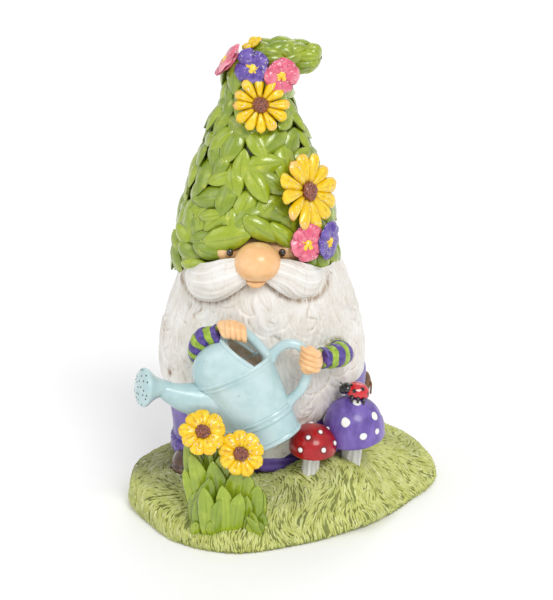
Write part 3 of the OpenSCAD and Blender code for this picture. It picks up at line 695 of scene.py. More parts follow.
def pouch():
    """Small leather bag at the back of the gnome's left hip, with a flap and a buckle strap."""
    low, high = np.array([36.5, 25.0, 50.0]), np.array([52.5, 43.0, 67.0])
    middle, half = (low + high) / 2, (high - low) / 2
    rows = [[low[2], 3.5, 4.5], [low[2] + 1.5, half[0] * 0.86, half[1] * 0.8],
            [middle[2], half[0] * 1.02, half[1]], [high[2] - 4, half[0], half[1] * 0.98],
            [high[2] - 1, half[0] * 0.8, half[1] * 0.7], [high[2], 2.5, 3]]
    bag = loft([[*r, middle[0], middle[1]] for r in rows], 56, 40)
    sag = 0.35 * layered(bag.points, 5, 3, 8)
    bag.set(crease=np.clip(0.5 - sag, 0, 1)).pushed(sag)
    turn = np.linspace(0, TAU, 41)[:-1]
    flap_z = middle[2] + 1.5 - 2.2 * np.abs(np.sin(turn))
    line = np.stack([middle[0] + half[0] * 1.05 * np.cos(turn),
                     middle[1] + half[1] * 1.04 * np.sin(turn), flap_z], 1)
    seam = sweep(np.concatenate([line, line[:2]]), 0.8, 0.5, (0, 0, 1), 8).set(crease=0.2)
    strap = spline([[middle[0] + half[0] * 0.6, middle[1] - 2, high[2] - 2],
                    [middle[0] + half[0] * 1.06, middle[1] - 2, middle[2] + 2],
                    [middle[0] + half[0] * 1.06, middle[1] - 2, middle[2] - 5]], 24)
    belt = sweep(strap, 1.6, 0.55, (0, 1, 0), 8).set(crease=0.0)
    p = Paint("bag_paint", rough=0.5, coat=0.1)
    p.colour(p.mix(p.value("crease"), p.mix(p.noise(4, 4), "7A5330", "9A7146"), "3F2814"))
    p.bumps((p.noise(2, 5), 0.3), (p.noise(0.5), 0.08))
    piece("hip_bag", join([bag, seam, belt]), p, "boot_brown", "hip_pouch")


# ---- beard and moustache ------------------------------------------------------------

# Beard sections: z, half width, half depth, centre y, as in part.scad
BEARD_ROWS = [[35, 10, 11, -16], [40, 22, 20, -9], [46, 34, 29, -1], [54, 46, 38, 6],
              [63, 54.5, 44, 10], [75, 59, 47, 12], [92, 60, 49, 13], [105, 58.3, 48, 13],
              [116, 56, 46.5, 13], [126, 53, 44, 12], [134, 50, 42, 11], [141, 48, 39, 10],
              [147, 44, 36, 10]]
BEARD_PITS = [[-55.3, -17.8, 127], [-65.5, -9.6, 82.8]]
BEARD_BACK = 22.0   # the beard ends at this y
BEARD_MEAN = 57.0   # radius at which one radian of the strip is measured
LOBE_RINGS, LOBE_SIDES = 70, 96         # rings of a moustache lobe and points in each


class Relief:
    """Heights over a flat strip, carved by laying overlapping locks of hair on it."""

    def __init__(self, u0, u1, v0, v1, step):
        self.u0, self.v0, self.step = u0, v0, step
        self.u, self.v = np.arange(u0, u1 + step, step), np.arange(v0, v1 + step, step)
        self.height = np.zeros((len(self.v), len(self.u)))

    def lock(self, path, half, rise, hairs, phase):
        """Lays one tapered lock along a path of (u, v) points on top of what is there."""
        path = np.asarray(path)
        reach = half * 1.1
        i0, i1 = [int(np.clip((e - self.v0) / self.step, 0, len(self.v)))
                  for e in (path[:, 1].min() - reach, path[:, 1].max() + reach)]
        j0, j1 = [int(np.clip((e - self.u0) / self.step, 0, len(self.u)))
                  for e in (path[:, 0].min() - reach, path[:, 0].max() + reach)]
        if i1 - i0 < 2 or j1 - j0 < 2:
            return
        grid_u, grid_v = np.meshgrid(self.u[j0:j1], self.v[i0:i1])
        p = np.stack([grid_u, grid_v], -1)[:, :, None]
        a, d = path[:-1], np.diff(path, axis=0)
        share = np.clip(((p - a) * d).sum(-1) / (d * d).sum(-1), 0, 1)
        off = p - a - share[..., None] * d
        far = np.hypot(off[..., 0], off[..., 1])
        near = far.argmin(-1)
        take = np.take_along_axis
        t = (near + take(share, near[..., None], -1)[..., 0]) / len(d)
        cross = (d[near][..., 0] * take(off[..., 1], near[..., None], -1)[..., 0]
                 - d[near][..., 1] * take(off[..., 0], near[..., None], -1)[..., 0])
        width = half * np.clip(1.15 * np.sin(math.pi * np.clip(t * 0.86 + 0.14, 0, 1)) ** 0.6,
                               0.05, 1)
        x = np.sign(cross) * far.min(-1) / width
        inside = smooth(1.0, 0.82, np.abs(x)) * smooth(0, 0.16, t)
        body = rise * np.sqrt(np.clip(1 - (x * 0.95) ** 2, 0, 1)) * (0.55 + 0.45 * np.sin(math.pi * t))
        strands = 0.11 * rise * np.cos(x * math.pi * hairs + phase + 2 * t)
        old = self.height[i0:i1, j0:j1]
        self.height[i0:i1, j0:j1] = old * (1 - inside) + inside * (old * 0.35 + body + strands)

    def hollow(self, reach):
        """0 on top of the locks to 1 deep between them."""
        blurred = self.height
        width = max(1, int(reach / self.step))
        kernel = np.ones(2 * width + 1) / (2 * width + 1)
        for axis in (0, 1, 0, 1):
            padded = np.pad(blurred, [(width, width) if k == axis else (0, 0) for k in (0, 1)],
                            mode="edge")
            blurred = np.apply_along_axis(lambda m: np.convolve(m, kernel, "valid"), axis, padded)
        return np.clip((blurred - self.height) / 0.6, -1, 1.6)


def beard_relief():
    """Locks laid from the foot of the beard upwards, calmer at its sides."""
    rng = np.random.default_rng(5)
    relief = Relief(-112, 112, 30, 152, 0.55)
    for v in np.arange(56, 172, 11.5):
        for u in np.arange(-116, 116, 9.0):
            top = v + rng.uniform(-4, 4)
            start = u + rng.uniform(-3.5, 3.5)
            edge = smooth(40, 85, abs(start))
            spread = 0.3 * start / 100 + 0.25 * np.sin(start / 15 + top / 19)
            swing = rng.uniform(0.25, 0.6) * (1 - 0.45 * edge) * np.sin(start / 7 + top / 23 + 1)
            curl = rng.uniform(0.5, 2.2) * rng.choice([-1, 1]) * (1 - 0.6 * edge)
            phase = 2.2 * np.sin(start / 18) + rng.uniform(-0.6, 0.6)
            length = rng.uniform(34, 62)
            t = np.linspace(0, 1, 22)
            turn = spread + swing * np.sin(t * 4.6 + phase) + curl * smooth(0.6, 1, t) ** 2
            path = np.cumsum(np.stack([np.sin(turn), -np.cos(turn)], 1) * length / 21, 0)
            calm = smooth(0.0, 0.5, noise([[start, top, 0]], 34, 2)[0])
            relief.lock(path + [start, top], rng.uniform(5.8, 10.2),
                        rng.uniform(1.2, 2.3) * (1 - 0.6 * calm), rng.integers(3, 6), phase)
    return relief


def beard():
    """The beard, wrapped round the body and raised by its relief of locks."""
    relief = beard_relief()
    hollow = relief.hollow(1.5)
    z_rows = np.arange(33.5, 148.4, 0.62)
    shares = np.linspace(-1, 1, 381)
    rows = spline(BEARD_ROWS, 400)
    z = z_rows[:, None]
    hw, hd, cy = [np.interp(z, rows[:, 0], rows[:, k]) for k in (1, 2, 3)]
    widest = np.minimum(np.arccos(np.clip((cy - BEARD_BACK) / hd, -1, 1)), 2.0)
    widest = widest * (1 - 0.26 * smooth(88, 48, z)) + 0.035 * np.sin(z / 3.1 + np.sin(z / 7))
    widest = widest + 0.02 * np.sin(z / 1.3)
    a = shares[None] * widest
    tuck = 1 - (0.085 * smooth(79, 71, z) + 0.2 * smooth(68, 50, z)) * smooth(0.5, 1.3, a)
    x, y = GNOME[0] + hw * np.sin(a) * tuck, cy - hd * np.cos(a)
    points = np.stack([x, y, np.broadcast_to(z, x.shape)], -1)
    normals = unit(np.cross(np.gradient(points, axis=1), np.gradient(points, axis=0)))
    i = np.clip((z - relief.v0) / relief.step, 0, len(relief.v) - 1.01) + 0 * a
    j = np.clip((a * BEARD_MEAN - relief.u0) / relief.step, 0, len(relief.u) - 1.01)

    def read(field):
        b, c = i.astype(int), j.astype(int)
        fi, fj = i - b, j - c
        return ((field[b, c] * (1 - fj) + field[b, c + 1] * fj) * (1 - fi)
                + (field[b + 1, c] * (1 - fj) + field[b + 1, c + 1] * fj) * fi)

    rim = smooth(0.985, 0.9, np.abs(shares))[None]
    lift = (read(relief.height) - 1.2) * (0.25 + 0.75 * rim)
    lift = lift - 4.5 * (1 - smooth(1.0, 0.97, np.abs(shares)))[None]
    points = points + normals * lift[..., None]
    # brown painted shade round the sleeves and under the moustache; brown wash and shade in two pits
    stain, pits = beard_shade_and_wash(points)
    points = clear_of_can(over_coat(points - normals * 2.2 * pits[..., None]))
    wash = np.clip(read(hollow), 0, 1)
    shape = Shape(points.reshape(-1, 3), grid_faces(*points.shape[:2]),
                  hollow=wash.ravel(), stain=stain.ravel(), raised=np.clip(-read(hollow), 0, 1).ravel())
    piece("beard_locks", shape, hair_paint("beard_paint"), "beard_white", "beard")


def beard_shade_and_wash(points):
    """Brown painted shade round the sleeves and under the moustache, and wash with shade in two pits."""
    pits = sum(bell(np.linalg.norm(points - at, axis=-1), 2.4) for at in BEARD_PITS)
    stain = 1.4 * pits
    for path, reach in ((SLEEVE_RIGHT, 6.2), (SLEEVE_LEFT, 7.2)):
        far = np.min([np.linalg.norm(points - q, axis=-1) for q in spline(path, 24)], axis=0)
        stain = np.maximum(stain, 0.9 * smooth(reach + 3.2, reach, far))
    for side in (-1, 1):
        line, wide = moustache_line(side)
        off = [np.hypot(points[..., 0] - q[0], points[..., 2] - q[2]) - w
               for q, w in zip(line[::3], wide[::3])]
        low = bell(np.min(off, axis=0) - 0.5, 1.7) * smooth(149, 143, points[..., 2])
        stain = np.maximum(stain, 0.85 * low * (points[..., 1] < 0))
    return np.clip(stain, 0, 1), pits


def over_coat(points):
    """Brings the foot of the beard forward to lie over the front of the coat."""
    half = COAT_R * lookup(points[..., 2], COAT_ROWS)
    inner = np.clip(1 - ((points[..., 0] - GNOME[0]) / half) ** 2, 0, 1)
    front = GNOME[1] - half * BODY_DEPTH * np.sqrt(inner) - 1.4
    middle = smooth(0.62, 0.35, np.abs(points[..., 0] - GNOME[0]) / half)
    middle = middle * smooth(62, 50, points[..., 2])
    out = points.copy()
    out[..., 1] -= np.clip(points[..., 1] - front, 0, None) * middle
    return out


def clear_of_can(points):
    """Presses the beard back where the watering can leans on it."""
    local = (points - RIM_AT) @ turned(-CAN_LEAN, 1)
    x, z = local[..., 0], local[..., 2]
    hood = CAN_RIM * np.sqrt(np.clip(1 - (z / HOOD_CLEAR) ** 2, 0.001, 1))
    r = np.where(z > 0, hood, can_wall_r(z)) + 1.0
    back = RIM_AT[1] + r * CAN_DEPTH * np.sqrt(np.clip(1 - (x / r) ** 2, 0, 1)) + 0.2
    touching = (np.abs(x) < r) & (z > -CAN_H - 1) & (z < HOOD_CLEAR)
    out = points.copy()
    out[..., 1] = np.where(touching, np.maximum(points[..., 1], back), points[..., 1])
    return out


def hair_paint(name):
    p = Paint(name, rough=0.5, coat=0.12)
    hollow, raised = p.value("hollow"), p.value("raised")
    fine = p.noise(2.2, 4, p.stretched(1, 1, 0.25), distort=1.2)
    white = p.mix(p.ramp(p.noise(14, 3), 0.35, 0.65), "EAE8E3", "DFDAD1")
    dusty = p.mix(p.ramp(fine, 0.52, 0.78, 0, 0.5), white, "C4B196")
    patch = p.ramp(p.noise(22, 3), 0.42, 0.62, 0.3, 0.95)
    deep = p.times(p.ramp(hollow, 0.1, 0.9), patch)
    brown = p.mix(p.ramp(fine, 0.35, 0.65), "CBAF8C", "9C7C58")
    tinted = p.mix(deep, dusty, brown)
    tinted = p.mix(p.ramp(raised, 0.2, 0.8, 0, 0.7), tinted, "F1EFEB")
    # Brown painted shade round the sleeves and under the moustache, and brown wash in the pits
    shade_and_wash_share = p.times(p.value("stain"), p.ramp(fine, 0.35, 0.6, 0.3, 0.95))
    p.colour(p.mix(shade_and_wash_share, tinted, "8C6B48"))
    return p.bumps((fine, 0.2), (p.noise(0.7, 2, p.stretched(1, 1, 0.4)), 0.08))


def moustache_line(side):
    """Middle line of a lobe and its half height; the lobe on the gnome's left is smaller."""
    size = 1.0 if side < 0 else 0.92
    line = spline([[2.5, -27.5, 152.8], [8, -31, 151.8], [16, -31, 149], [25, -26.5, 144],
                   [33, -20, 142], [39.5, -12.5, 144.3]], LOBE_RINGS)
    line[:, 0] = -14.8 + side * size * line[:, 0]
    line[:, 2] = 152 + (line[:, 2] - 152) * size
    wide = [[0, 4], [0.15, 8.3], [0.33, 10.4], [0.56, 11.6], [0.78, 10.6], [0.92, 7], [1, 2.6]]
    wide = size * lookup(np.linspace(0, 1, LOBE_RINGS), wide)
    return line, np.convolve(np.pad(wide, 4, mode="edge"), np.ones(9) / 9, "valid")


def moustache():
    """Two drooping lobes combed from the nose outwards."""
    paint = hair_paint("moustache_paint")
    for side, name in ((-1, "right"), (1, "left")):
        line, w = moustache_line(side)
        lobe = sweep(line, w, w * 0.62, (0, 0, 1), LOBE_SIDES)
        a = angles(LOBE_SIDES, LOBE_RINGS)
        along = np.repeat(np.linspace(0, 1, LOBE_RINGS), LOBE_SIDES)
        warp = a + 0.22 * np.sin(along * 5 + side) + 0.1 * np.sin(a * 3 + along * 5)
        comb = np.cos(warp * 9) * 0.22 + np.cos(warp * 23 + 1.2 * np.sin(along * 7)) * 0.14
        comb = capped(comb * np.sin(math.pi * np.clip(along, 0.03, 0.97)) ** 0.5)
        # pits: patches of brown painted shade on the downward-facing underside of the lobe
        pits = smooth(0.25, 0.45, noise(lobe.points, 1.5, 6)) * smooth(-0.8, -0.92, lobe.normals()[:, 2])
        lobe.set(hollow=np.clip(-comb * 2.2, 0, 1) * 0.5 + pits, raised=np.clip(comb * 3, 0, 1))
        lobe.pushed(comb)
        piece(f"moustache_lobe_{name}", lobe, paint, "beard_white", f"moustache_{name}")


# ---- face ---------------------------------------------------------------------------


EYE_X = (-30, -0.6)     # middles of the eyes


def skin_paint():
    p = Paint("skin_paint", rough=0.34, coat=0.3)
    peach = p.mix(p.ramp(p.noise(12, 3), 0.35, 0.65), "EDB87E", "F4C792")
    p.colour(p.mix(p.ramp(p.value("hollow"), 0.1, 1.0), peach, "A87748"))
    p.shader.inputs["Subsurface Weight"].default_value = 0.06
    p.shader.inputs["Subsurface Scale"].default_value = 0.004
    return p.bumps((p.noise(4, 3), 0.12), (p.noise(0.8, 2), 0.03))


def face(paint):
    """Head with cheeks and eye sockets, big nose, lower lip and bead eyes."""
    rows = [[138, 32, 25], [144, 34, 27], [152, 34.5, 27.8], [161, 34, 27.8], [166, 29, 25],
            [170, 21, 18], [172, 12, 11]]
    head = loft([[*r, HAT[0], 5.5] for r in rows], 120, 60)
    p = head.points
    socket = sum(np.exp(-(((p[:, 0] - x) / 3.2) ** 2 + ((p[:, 2] - 161.4) / 3) ** 2))
                 for x in EYE_X)
    around = np.hypot(p[:, 0] + 14.3, p[:, 2] - 158)
    crease = bell(around - 14, 2.0)
    front = p[:, 1] < 0
    head.set(hollow=np.where(front, np.clip(crease * 0.15, 0, 1), 0))
    cheek = sum(np.exp(-((p[:, 0] - x) / 6.5) ** 2 - ((p[:, 2] - 159.5) / 6) ** 2)
                for x in (-32.5, 1.5))
    head.pushed(np.where(front, 6.2 * cheek - 0.8 * socket, 0) + 0.12 * layered(p, 8, 2, 6))
    piece("face_skin", head, paint, "skin", "head")

    egg = ball(13.3, 11.2, 72, 64, 0.04, 0.98)
    q = egg.points
    q[:, 0] *= 1.01 - 0.07 * q[:, 2] / 11
    rim = bell(q[:, 1] - 8, 4.5) * 0.9
    egg = egg.placed(turned(math.radians(-8), 0), (-14.5, -31, 157.0))
    egg.set(hollow=np.clip(rim, 0, 1)).pushed(0.14 * layered(egg.points, 7, 2, 2))
    piece("nose_egg", egg, paint, "skin", "nose")

    arc = spline([[-21, -31, 148.2], [-18.8, -33.8, 146.2], [-15.3, -34.8, 145.2],
                  [-11.9, -33.8, 146.2], [-9.4, -31, 148.2]], 30)
    swell = np.sin(np.linspace(0.1, math.pi - 0.1, 30))
    lip = sweep(arc, 1.9 * swell + 0.5, 2.0 * swell + 0.5, (0, 0, 1), 20)
    lip.set(hollow=smooth(146.0, 147.4, lip.points[:, 2]) * 0.95)
    piece("lip", lip, paint, "skin", "lower_lip")

    dark = Paint("eye_paint", rough=0.1, coat=1.0)
    dark.colour(dark.mix(dark.noise(1.2), "1A100B", "2B1C14"))
    dark.bumps((dark.noise(1.5), 0.05))
    beads = [ball(2.0, 2.1, 28, 20).placed(np.diag([1, 0.8, 1.05]), (x, -26.6, 161.2))
             for x in EYE_X]
    piece("eye_beads", join(beads), dark, "eye_dark", "eyes")


# ---- hat ------------------------------------------------------------------------------

HAT_ROWS = [[147, 1], [160, 0.99], [172, 0.95], [184, 0.88], [196, 0.79], [208, 0.69],
            [220, 0.57], [232, 0.45], [243, 0.38], [252, 0.36]]
ARCH_AT, ARCH_R = np.array([HAT[0] + 1, 144.0]), 25.0   # opening over the face, in x and z
# Middle line of the bent tip and its radius under the leaves
TIP_ROWS = [[-15.3, 15, 250, 14], [-14.8, 15, 256, 13.5], [-12, 15.5, 260, 13],
            [-5, 16, 262.8, 12.2], [3, 16.5, 263.8, 10.9], [9, 17, 264, 9.5],
            [13.6, 17, 263.7, 8.9], [16.8, 17, 263.2, 8.2], [19.2, 17, 262.7, 6.6],
            [20.8, 17, 262.3, 4.2], [21.6, 17, 262.1, 0.8]]
# Rings of leaves on the bent tip, from its end: share of its length, number and leaf length
HORN_TIERS = [(0.8, 5, 9.5), (0.68, 6, 13.5), (0.56, 7, 14.5), (0.43, 8, 15), (0.3, 8, 15.5),
              (0.16, 9, 16), (0.02, 10, 15)]
# Points along a leaf, and distance between the rows of leaves on the hat
LEAF_POINTS, LEAF_STEP = 17, 10.2
LEAF_OUTLINE = [[0, 0.1], [0.08, 0.22], [0.25, 0.43], [0.45, 0.5], [0.65, 0.45], [0.82, 0.31],
                [0.93, 0.17], [1, 0.03]]


def leaf(length, width, thick, curl, rng, outline=LEAF_OUTLINE, veins=5, vein_depth=0.32,
         bend=None, belly=0.7):
    """Fat veined leaf: it lies on XY with its stalk at the origin, points along +Y and faces +Z."""
    rows, across, under = LEAF_POINTS, 13, 5
    t = np.linspace(0, 1, rows)[:, None]
    half = width * lookup(t, outline)
    s = np.linspace(-1, 1, across)[None]
    bend = rng.uniform(-0.17, 0.17) if bend is None else bend
    arch = (1 - np.abs(s) ** 2.2) * np.sin(math.pi * t ** 0.85) ** 0.8
    slant = t * veins - np.abs(s) * 0.9
    vein = bell(slant - np.floor(slant) - 0.5, 0.13) * smooth(0.1, 0.35, np.abs(s))
    rib = bell(s * half, 0.55)
    groove = (vein * 0.75 * smooth(1.02, 0.75, np.abs(s)) + rib) * np.sin(math.pi * t) ** 0.4
    wave = rng.uniform(0.2, 0.5) * np.sin(t * 5 + rng.uniform(0, 6) + s * 1.5) * np.abs(s)
    top_z = thick * arch - vein_depth * groove + wave
    side_x, y = s * half + bend * length * t ** 2, t * length
    low_s = np.linspace(0.9, -0.9, under)[None]
    low_x = low_s * half + bend * length * t ** 2
    low_z = -belly * (1 - low_s ** 2) * np.sin(math.pi * np.clip(t, 0.02, 0.98)) ** 0.5
    x = np.concatenate([side_x, low_x], 1)
    z = np.concatenate([top_z, low_z], 1) + curl * length * (t ** 2 - 0.3 * t)
    rings = np.stack([x, np.broadcast_to(y, x.shape), z], -1)
    pad = np.zeros((rows, under))
    edge = np.concatenate([np.abs(s) + 0 * t, pad + 1], 1)
    return skin(rings, groove=np.concatenate([np.clip(groove, 0, 1), pad], 1),
                edge=edge, tone=rng.random(), depth=0.0)


def frame_of(normal, pointing):
    """Columns across, along and outwards for a leaf that faces normal and points that way."""
    out = unit(np.asarray(normal, float))
    along = unit(pointing - out * np.dot(pointing, out))
    return np.stack([np.cross(along, out), along, out], 1)


def hat_point(a, z):
    """Point of the hat at angle a from the front and height z, and the way out from it."""
    r = HAT_R * lookup(z, HAT_ROWS)
    fall = HAT_R * (lookup(z - 3, HAT_ROWS) - lookup(z + 3, HAT_ROWS)) / 6
    normal = unit(np.array([math.sin(a), -math.cos(a) / HAT_DEPTH, fall]))
    at = np.array([HAT[0] + r * math.sin(a), HAT[1] - r * HAT_DEPTH * math.cos(a), z])
    return at, normal


def over_face(points):
    """Whether any of the points is in the opening of the hat over the face."""
    far = np.hypot((points[:, 0] - ARCH_AT[0]) / 32, (points[:, 2] - 150) / 19)
    return bool(((far < 1) & (points[:, 1] < 0)).any())


def hat_core():
    """Solid hat under the leaves, cut back in an arch over the face."""
    rows = spline([[z, HAT_R * s, HAT_R * s * HAT_DEPTH, *HAT] for z, s in HAT_ROWS], 70)
    core = loft(rows, 140)
    p = core.points
    face_side = p[:, 1] < 5
    near = np.hypot(p[:, 0] - ARCH_AT[0], p[:, 2] - ARCH_AT[1])
    opened = face_side & (near < ARCH_R)
    arch_z = ARCH_AT[1] + np.sqrt(np.clip(ARCH_R ** 2 - (p[:, 0] - ARCH_AT[0]) ** 2, 0, None))
    p[:, 2] = np.where(opened, np.maximum(p[:, 2], arch_z), p[:, 2])
    core.pushed(0.5 * layered(p, 5, 3, 12))
    # depth 1: painted dark all over, as shade where the core shows between the leaves
    core.set(tone=0.3, groove=0.3, edge=0.5, depth=1.0)
    return core


def hat_leaves():
    """Leaves in staggered rows from the brim upwards, each one turned and sized at random."""
    rng = np.random.default_rng(23)
    tiers = {name: [] for name in ("brim", "lower", "middle", "upper")}
    limits = [("brim", 139, 172), ("lower", 172, 192), ("middle", 192, 213), ("upper", 213, 262)]
    z, row = 147.0, 0
    while z < 261:
        shrink = 0.82 + 0.18 * smooth(250, 200, z)
        around = TAU * HAT_R * lookup(z, HAT_ROWS) * 0.94
        count = round(around / (LEAF_STEP * shrink))
        for n in range(count):
            a = TAU * (n + 0.5 * (row % 2) + rng.uniform(-0.24, 0.24)) / count - math.pi
            high = z + rng.uniform(-2.6, 2.6)
            at, normal = hat_point(a, high)
            turn = rng.normal(0, 0.55) + 0.45 * math.sin(3 * a + z / 15)
            if rng.random() < 0.1:
                turn += math.pi * 0.8
            size = rng.choice([1.0, 0.86, 0.7], p=[0.55, 0.28, 0.17]) * shrink
            length = rng.uniform(21.5, 26) * size
            width = length * rng.uniform(0.55, 0.67)
            down = unit(np.array([0, 0, -1.0]) + normal * normal[2])
            pointing = down * math.cos(turn) + np.cross(normal, down) * math.sin(turn)
            lift = rng.uniform(0.14, 0.3)
            m = frame_of(normal - pointing * lift, pointing)
            one = leaf(length, width, rng.uniform(2.6, 3.6) * size, rng.uniform(-0.16, 0.03), rng,
                       belly=2.8)
            one = one.placed(m, at - m[:, 1] * length * 0.5 + normal * rng.uniform(1.6, 3.2))
            floor = 139.5 + 2 * math.sin(9 * a)
            if one.points[:, 2].min() < floor:
                one.points[:, 2] += floor - one.points[:, 2].min()
            if over_face(one.points) or blocked(at, size):
                continue
            for name, low, top in limits:
                if low <= high < top or (name == "brim" and high < low):
                    tiers[name].append(one)
        z, row = z + LEAF_STEP * shrink, row + 1
    tiers["brim"] += arch_leaves(rng)
    tiers["upper"] += collar_leaves(rng)
    return tiers


def collar_leaves(rng):
    """Leaves that close the hat round its bent tip."""
    out, count = [], 14
    for n in range(count):
        a = TAU * (n + rng.uniform(-0.15, 0.15)) / count
        if math.cos(a) < 0.55:
            at, normal = hat_point(a, 247 + 4 * (n % 2))
            m = frame_of(normal + [0, 0, 0.7], [0, 0, 1.0] - normal * 0.7)
            one = leaf(15, 10.5, 3.2, 0.0, rng, belly=2.4)
            out.append(one.placed(m, at + normal * 1.2))
    return out


def blocked(at, size):
    """Whether a leaf here would bury a flower of the hat."""
    return size > 0.6 and any(np.linalg.norm(at - np.array(spot)) < r * 0.62
                              for spot, _, _, r in HAT_FLOWERS.values())


def arch_leaves(rng):
    """Leaves laid along the edge over the face."""
    out = []
    # Each leaf: middle in x and z, the way its tip points in degrees from +X, length, width
    for x, z, heading, length, width in (
            (-38, 178.5, 8, 16, 9), (-52.5, 162.5, -35, 20, 12), (-41.5, 165.5, 10, 20, 11),
            (-60, 156, -70, 18, 11), (-57.5, 147, -75, 20, 13), (-47, 149, 2, 21, 10),
            (-50, 155, -20, 20, 13), (-40.5, 159, -16, 20, 12), (-30, 167.4, 9, 29, 16.5),
            (8.5, 162, -58, 16, 9), (-0.8, 168.3, -48, 24, 11.5), (-13, 173, -40, 25, 13.5),
            (13, 154, -75, 16, 9), (19, 149, -80, 18, 11), (24, 150.5, -88, 18, 12),
            (26.5, 149, -80, 17, 11)):
        a = math.asin(np.clip((x - HAT[0]) / (HAT_R * lookup(z, HAT_ROWS)), -0.97, 0.97))
        at, normal = hat_point(a, z)
        q = math.radians(heading)
        pointing = np.array([math.cos(q), 0, math.sin(q)])
        m = frame_of(normal + [0, -0.3, -0.1], pointing)
        one = leaf(length, width, 3.1, -0.05, rng, bend=-0.06)
        out.append(one.placed(m, at - m[:, 1] * length * 0.5 + normal * 4.2))
    return out


def hat():
    """Leafy hat with its bent tip; its flowers are made apart."""
    paint = leaf_paint("leaf_paint", "99AD1E", "7E951A", "B2BF38", "34410C")
    piece("hat_core", hat_core(), paint, "hat_green", "hat_cone")
    for name, leaves in hat_leaves().items():
        piece(f"hat_{name}_foliage", join(leaves), paint, "leaf_green", f"hat_{name}_leaves")
    horn(paint)


def horn(paint):
    """The hat's bent tip, with leaves wrapped round it."""
    rows = spline(TIP_ROWS, 100)
    path, radii = rows[:, :3], rows[:, 3]
    core = sweep(path, np.maximum(radii * 0.94 - 2, 0.3), np.maximum(radii - 2, 0.3), (0, 1, 0), 48)
    # depth 0.3: painted a little dark, as shade between the leaves round the tip
    core.set(tone=0.3, groove=0.3, edge=0.5, depth=0.3).pushed(0.4 * layered(core.points, 5, 3, 3))
    piece("hat_horn", core, paint, "hat_green", "hat_tip")
    rng = np.random.default_rng(41)
    leaves = []
    for k, (share, count, size) in enumerate(HORN_TIERS):
        for n in range(count):
            q = TAU * (n + 0.5 * (k % 2) + rng.uniform(-0.15, 0.15)) / count
            one = leaf(size * rng.uniform(0.95, 1.15), size * rng.uniform(0.68, 0.8), 3.4, 0.0, rng)
            share_by = share + rng.uniform(-0.04, 0.04)
            turn = rng.normal(0, 0.5)
            trial = wrapped(one.placed(np.eye(3)), path, radii, share_by, q, turn).points
            long = np.linalg.norm(trial[len(trial) * (LEAF_POINTS - 1) // LEAF_POINTS] - trial[0])
            squeeze = np.clip(size * 1.1 / long, 0.6, 1.15)     # the outside of the bend is longer
            leaves.append(wrapped(one, path, radii, share_by, q, turn, squeeze))
    for share, q, turn in ((0.69, 3.9, 0.3), (0.5, 4.3, -0.5)):      # two broad ones on the front
        one = leaf(14, 10.5, 4.2, 0.0, rng)
        leaves.append(wrapped(one, path, radii, share, q, turn, 0.85))
    piece("hat_horn_foliage", join(leaves), paint, "leaf_green", "hat_tip_leaves")


def wrapped(one, path, radii, share, q, turn, squeeze=1.0):
    """A leaf laid round the bent tip: it starts at a share of the path and at angle q."""
    along = unit(np.gradient(path, axis=0))
    length = np.linalg.norm(np.diff(path, axis=0), axis=1).sum()
    x = one.points[:, 0] * math.cos(turn) + one.points[:, 1] * math.sin(turn)
    y = one.points[:, 1] * math.cos(turn) - one.points[:, 0] * math.sin(turn)
    y = y * squeeze
    s = np.clip(share + y / length, 0, 1) * (len(path) - 1)
    r = np.interp(s, np.arange(len(path)), radii)
    at = np.stack([np.interp(s, np.arange(len(path)), path[:, k]) for k in range(3)], 1)
    way = np.stack([np.interp(s, np.arange(len(path)), along[:, k]) for k in range(3)], 1)
    across = unit(np.cross(np.array([0, 1.0, 0]), way))
    angle = (q + x / np.maximum(r, 5.5))[:, None]
    out = across * np.cos(angle) + np.array([0, 0.94, 0]) * np.sin(angle)
    rise = -3.9 + one.points[:, 2] + 9.5 * np.clip(y, 0, 16) / length
    one.points = at + out * (r + rise)[:, None]
    return one


def leaf_paint(name, main, second, light, dark):
    p = Paint(name, rough=0.24, coat=0.8)
    groove, edge, tone, deep = [p.value(k) for k in ("groove", "edge", "tone", "depth")]
    patch = p.noise(7, 3)
    green = p.mix(p.ramp(tone, 0.1, 0.9), second, main)
    green = p.mix(p.ramp(patch, 0.45, 0.75, 0, 0.6), green, light)
    green = p.mix(p.ramp(groove, 0.3, 1.0, 0, 0.3), green, dark)
    # Painted shade: the rims and undersides of the leaves are darker
    low = p.times(p.ramp(edge, 0.88, 1.0), 0.7)
    green = p.mix(low, green, dark)
    # depth: painted shade that darkens the cores and the bed's filler showing between the leaves
    green = p.mix(p.times(deep, 0.75), green, dark)
    p.colour(p.mix(p.ramp(p.noise(3.5), 0.62, 0.78, 0, 0.5), green, "E3DC4E"))
    return p.bumps((p.noise(2.2, 4), 0.22), (p.noise(0.5), 0.05))


# ---- flowers ----------------------------------------------------------------------------

# Flowers of the hat: place, turn about Z, rise of the face and radius
HAT_FLOWERS = {
    "sunflower_upper": ([-12.9, -6.0, 241.0], 5, 20, 16.4),
    "sunflower_side": ([13.2, -12.5, 193], 48, 14, 22.0),
    "pansy_purple_top": ([-16.4, 0, 261], -8, 18, 9.8),
    "pansy_pink_top": ([-1.6, 0, 257.6], 18, 6, 10.2),
    "blossom_pink_side": ([-30, 9.5, 262.5], -86, 42, 11.2),
    "blossom_yellow_crown": ([-17.0, 12.5, 271.4], -75, 58, 6.4),
    "pansy_pink_brim": ([12.8, -21.5, 165.5], 30, 10, 11.0),
    "pansy_purple_brim": ([24.4, -12, 164], 60, 4, 11.0),
}
BED_FLOWERS = {
    "bed_flower_high": ([-44.8, -67, 68.5], 0, 38, 13.4),
    "bed_flower_low": ([-23.6, -71, 57.5], 0, 22, 13.0),
}
